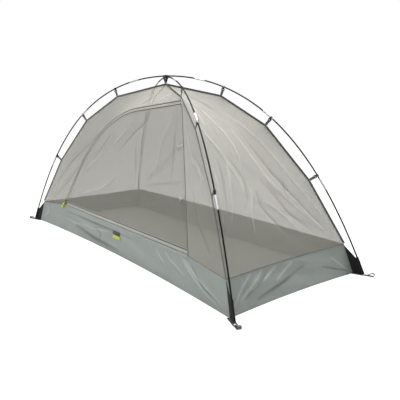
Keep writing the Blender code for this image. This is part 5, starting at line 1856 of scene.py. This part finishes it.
class TENT_OT_corners(bpy.types.Operator):
    """Finish the four corners: black gussets, sleeves, webbing, grommets and peg loops"""

    bl_idname = "tent.corners"
    bl_label = "Corners"

    def execute(self, context):
        """Builds each corner on the tent and its peg loop on its own body."""
        for arm in arms.values():
            self.gusset(arm)
            self.webbing(arm)
            self.peg_loop(arm)
        return {"FINISHED"}

    def gusset(self, arm):
        """Black cloth from the pan's corner to the pole, with a sleeve down to the pole's tip."""
        head, foot = pan_height - gusset_head_drop, pan_floor + clearance
        seat = (sleeve_radius + sleeve_bore_radius) / 2
        far = [Vector((tip_ground_reach(arm) - grommet_flange_radius - clearance, foot))]
        for height in np.linspace(sleeve_foot_height + sleeve_radius, sleeve_head_height - sleeve_radius, 9):
            reach, along_reach, along_up = self.foot_of_pole(arm, float(height))
            far.append(Vector((reach - seat * along_reach, float(height) - seat * along_up)))
        near = [Vector((corner_line(z) + clearance, z)) for z in (foot, head)]
        rows, columns = 24, 16
        ends = zip(resample(near, rows), resample(far, rows))
        grid = np.array([as_array([arm.place(*p) for p in spread(*pair, columns)]) for pair in ends])
        down, across = shares_of(grid)
        wave = np.sin(9 * across + 4 * down) * np.sin(math.pi * across) * np.sin(math.pi * down)
        grid += np.array(arm.to_end) * (wave * gusset_ripple)[..., None]
        side = np.array(arm.to_end) * gusset_cloth / 2
        cloth = cloth_solid(f"gusset_{arm.name}", grid + side, grid - side, "black_cloth")
        settle(cloth, "tent", [f"corner_gusset_{arm.name}"])
        sleeve = self.sleeve(arm)
        settle(sleeve, "tent")

    def foot_of_pole(self, arm, height):
        """Reach of the pole's axis at a height, tip included, and the way square to it."""
        pole = arm.pole
        if height > rod_end_height:
            reach = pole.at_height(height)
            return (reach, *pole.outward(reach))
        reach = rod_reach + (height - rod_end_height) / pole.slope(rod_reach)
        return (reach, *pole.outward(rod_reach))

    def sleeve(self, arm):
        """A sewn tube of the same cloth, slightly puckered, that the pole's foot slides in."""
        heights = np.linspace(sleeve_head_height, sleeve_foot_height, 16)
        path = as_array([arm.place(self.foot_of_pole(arm, float(z))[0], float(z)) for z in heights])
        ways = unit(np.gradient(path, axis=0))
        side = np.array(arm.to_end)
        other = np.cross(ways, side)
        turns = np.linspace(0, 2 * math.pi, 24, endpoint=False)
        run = np.linspace(0, 1, len(path))[:, None]
        pucker = 1 + sleeve_pucker * np.sin(3 * turns[None] + 5 * run)
        skins = []
        for radius, share in ((sleeve_radius, pucker), (sleeve_bore_radius, np.ones_like(pucker))):
            rings = path[:, None] + radius * share[..., None] * (
                np.cos(turns)[None, :, None] * side + np.sin(turns)[None, :, None] * other[:, None]
            )
            skins.append(np.concatenate([rings, rings[:, :1]], axis=1))
        return cloth_solid(f"gusset_sleeve_{arm.name}", skins[0], skins[1], "black_cloth")

    def webbing(self, arm):
        """Webbing from the floor's corner, pierced for the grommet that holds the pole's tip."""
        ground = tip_ground_reach(arm)
        start = corner_reach - floor_corner_cut + clearance
        end = ground + webbing_tail
        half = webbing_width / 2
        plane = frame_at(up * webbing_cloth / 2, arm.out, up.cross(arm.out))
        outline = oblong(start, -half, end, half)
        hole = arc_points((ground, 0), grommet_bore_radius, 0, 345, 23)
        strip = plate(f"corner_strap_{arm.name}", [outline, hole], webbing_cloth, plane, "dark_strap")
        write_uv(strip, flattened(strip, arm.place(0, 0), arm.out, arm.to_end))
        settle(strip, "tent", [f"corner_webbing_{arm.name}"])
        self.grommet(arm, ground)
        reaches = (start + webbing_stitch_inset, end - webbing_stitch_inset)
        rows = [[arm.place(r, webbing_cloth / 2, s * half * 0.8) for s in (-1, 1)] for r in reaches]
        stitches(f"corner_stitches_{arm.name}", rows, up, webbing_cloth * 0.6, "tent")

    def grommet(self, arm, ground):
        """A rolled metal ring, pressed through the webbing."""
        top = webbing_cloth + 0.0008
        bore, rim = grommet_bore_radius, grommet_flange_radius
        profile = [(bore, 0.0), (bore, top * 0.6), (bore + 0.0006, top), (bore + 0.0020, top + 0.0004)]
        profile += [(rim - 0.0008, top), (rim, webbing_cloth), (rim - 0.0003, webbing_cloth * 0.8)]
        profile += [(bore + 0.0004, 0.0)]
        centre = arm.place(ground, 0)
        turns = np.linspace(0, 2 * math.pi, 32, endpoint=False)
        points = [
            centre + Vector((radius * math.cos(t), radius * math.sin(t), height))
            for t in turns
            for radius, height in profile
        ]
        faces = tube_faces(len(turns), len(profile))
        made = face_out(mesh_object(f"grommet_{arm.name}", points, faces, "grommet"))
        settle(made, "tent")

    def peg_loop(self, arm):
        """The loop that a peg goes through, folded from one length of webbing."""
        end = tip_ground_reach(arm) + webbing_tail
        root_radius = peg_loop_root_radius + peg_loop_ply
        far = peg_loop_radius + peg_loop_ply
        root = arm.place(end + clearance + root_radius, root_radius + clearance)
        rise = math.asin((far - root_radius) / peg_loop_length)
        way = arm.out * math.cos(rise) + up * math.sin(rise)
        place = frame_at(root, way.cross(arm.to_end), way)
        ply = peg_loop_ply / 2
        line = in_place(place, belt(root_radius - ply, far - ply, peg_loop_length, 10))
        section = rounded(peg_loop_width, peg_loop_ply * 0.97, peg_loop_corner)
        loop = sweep(f"peg_webbing_{arm.name}", line, arm.to_end, section, "strap", loop=True)
        settle(loop, f"peg_loop_{arm.name}", [f"peg_loop_{arm.name}"])


class TENT_OT_tag(bpy.types.Operator):
    """Sew the plain two-tone tag to the front wall"""

    bl_idname = "tent.tag"
    bl_label = "Tag"

    def execute(self, context):
        """Builds the tag in the plane of its CAD node and sews round its edge."""
        low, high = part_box("side_tag")
        height = high.z - low.z
        way = Vector((0, high.y - low.y, height)).normalized()
        out = door_side.cross(way)
        origin = Vector((tag_centre_x, (low.y + high.y) / 2, (low.z + high.z) / 2))
        place = frame_at(origin, door_side, way)
        half, tall = tag_width / 2, tag_height / 2
        made = plate("sewn_tag", [oblong(-half, -tall, half, tall)], tag_thickness, place, "tag")
        write_uv(made, flattened(made, origin - way * tall, door_side, way))
        settle(made, "tent", ["side_tag"])
        wide, high = half - tag_stitch_inset, tall - tag_stitch_inset
        corners = [*oblong(-wide, -high, wide, high), (-wide, -high)]
        stitches("sewn_tag_stitches", [in_place(place, corners)], out, tag_thickness, "tent")
        return {"FINISHED"}


# The stage


class TENT_OT_stage(bpy.types.Operator):
    """Set the floor, the soft light and the camera"""

    bl_idname = "tent.stage"
    bl_label = "Stage"

    def execute(self, context):
        """A white floor that keeps the shadow, an even sky and three large soft lamps."""
        scene = context.scene
        scene.view_settings.view_transform = "Standard"
        mesh = bpy.data.meshes.new("studio_floor")
        reach = 30.0
        corners = oblong(-reach, -reach, reach, reach)
        mesh.from_pydata([(x, y, -clearance) for x, y in corners], [], [(0, 1, 2, 3)])
        floor = placed("studio_floor", mesh)
        mesh.materials.append(self.floor_paper())
        world = bpy.data.worlds.new("studio")
        scene.world = world
        world.use_nodes = True
        tree = world.node_tree
        sky = tree.nodes["Background"]
        rays = add_node(tree, "ShaderNodeLightPath").outputs
        seen = rays["Is Camera Ray"]
        for kind in ("Is Glossy Ray", "Is Transmission Ray"):
            seen = add_node(tree, "ShaderNodeMath", {0: seen, 1: rays[kind]}, operation="MAXIMUM")
        level = {"Value": seen, "To Min": sky_light, "To Max": background_white}
        feed(sky, {"Color": (1, 1, 1, 1), "Strength": add_node(tree, "ShaderNodeMapRange", level)})
        for name, place, width, watts in studio_lamps:
            lamp = bpy.data.lights.new(name, "AREA")
            lamp.shape = "DISK"
            lamp.size = width
            lamp.energy = watts
            holder = placed(name, lamp)
            holder.location = place
            holder.rotation_euler = (lamp_aim - Vector(place)).to_track_quat("-Z", "Y").to_euler()
        data = bpy.data.cameras.new("photo_camera")
        data.sensor_width = 36.0
        data.lens = photo_lens
        camera = placed("photo_camera", data)
        camera.location = photo_camera[0]
        camera.rotation_euler = [math.radians(turn) for turn in photo_camera[1]]
        scene.camera = camera
        return {"FINISHED"}

    def floor_paper(self):
        """Matt white paper that shows as white and keeps a soft shadow."""
        material, tree, shader = new_finish("matt_white_paper", 0.9, Specular_IOR_Level=0.0)
        feed(shader, {"Base Color": (0.82, 0.82, 0.82, 1)})
        rays = add_node(tree, "ShaderNodeLightPath").outputs
        glow = add_node(tree, "ShaderNodeEmission", {"Strength": floor_white})
        seen = {0: rays["Is Camera Ray"], 1: floor_glow}
        seen = add_node(tree, "ShaderNodeMath", seen, operation="MULTIPLY")
        both = add_node(tree, "ShaderNodeMixShader", {0: seen, 1: shader, 2: glow})
        feed(tree.nodes["Material Output"], {"Surface": both})
        return material


class TENT_PT_panel(bpy.types.Panel):
    """Sizes, colours and steps of the net tent"""

    bl_label = "Mosquito net tent"
    bl_idname = "TENT_PT_panel"
    bl_space_type = "VIEW_3D"
    bl_region_type = "UI"
    bl_category = "Net tent"

    def draw(self, context):
        """Lists the settings and the steps in the order that they run."""
        layout = self.layout
        for settings in (context.scene.tent_sizes, context.scene.tent_colours):
            column = layout.column()
            for name in settings.bl_rna.properties.keys():
                if name not in ("rna_type", "name"):
                    column.prop(settings, name)
        for step in steps:
            layout.operator(step.bl_idname)


steps = (
    TENT_OT_pan,
    TENT_OT_netting,
    TENT_OT_bindings,
    TENT_OT_zip,
    TENT_OT_sliders,
    TENT_OT_tiebacks,
    TENT_OT_poles,
    TENT_OT_clips,
    TENT_OT_apex_strap,
    TENT_OT_corners,
    TENT_OT_tag,
    TENT_OT_stage,
)


def register():
    """Registers the settings, the steps and the panel."""
    for kind in (TentColours, TentSizes, *steps, TENT_PT_panel):
        bpy.utils.register_class(kind)
    bpy.types.Scene.tent_colours = bpy.props.PointerProperty(type=TentColours)
    bpy.types.Scene.tent_sizes = bpy.props.PointerProperty(type=TentSizes)


def unregister():
    """Takes away what register added."""
    del bpy.types.Scene.tent_sizes
    del bpy.types.Scene.tent_colours
    for kind in (TENT_PT_panel, *steps[::-1], TentSizes, TentColours):
        bpy.utils.unregister_class(kind)


def main():
    """Registers the add-on, makes the finishes and the trees, and runs every step in order."""
    register()
    make_finishes()
    row = (("Pitch", "Float"), ("Facing", "Vector"), ("Unit", "Object"))
    trees["repeat"] = path_tree("repeat_on_path", row, set_in_a_row)
    trees["rod"] = path_tree("rod_on_path", (("Radius", "Float"), ("Sides", "Int")), drawn_round)
    for step in steps:
        group, name = step.bl_idname.split(".")
        getattr(getattr(bpy.ops, group), name)()


if __name__ == "__main__":
    main()
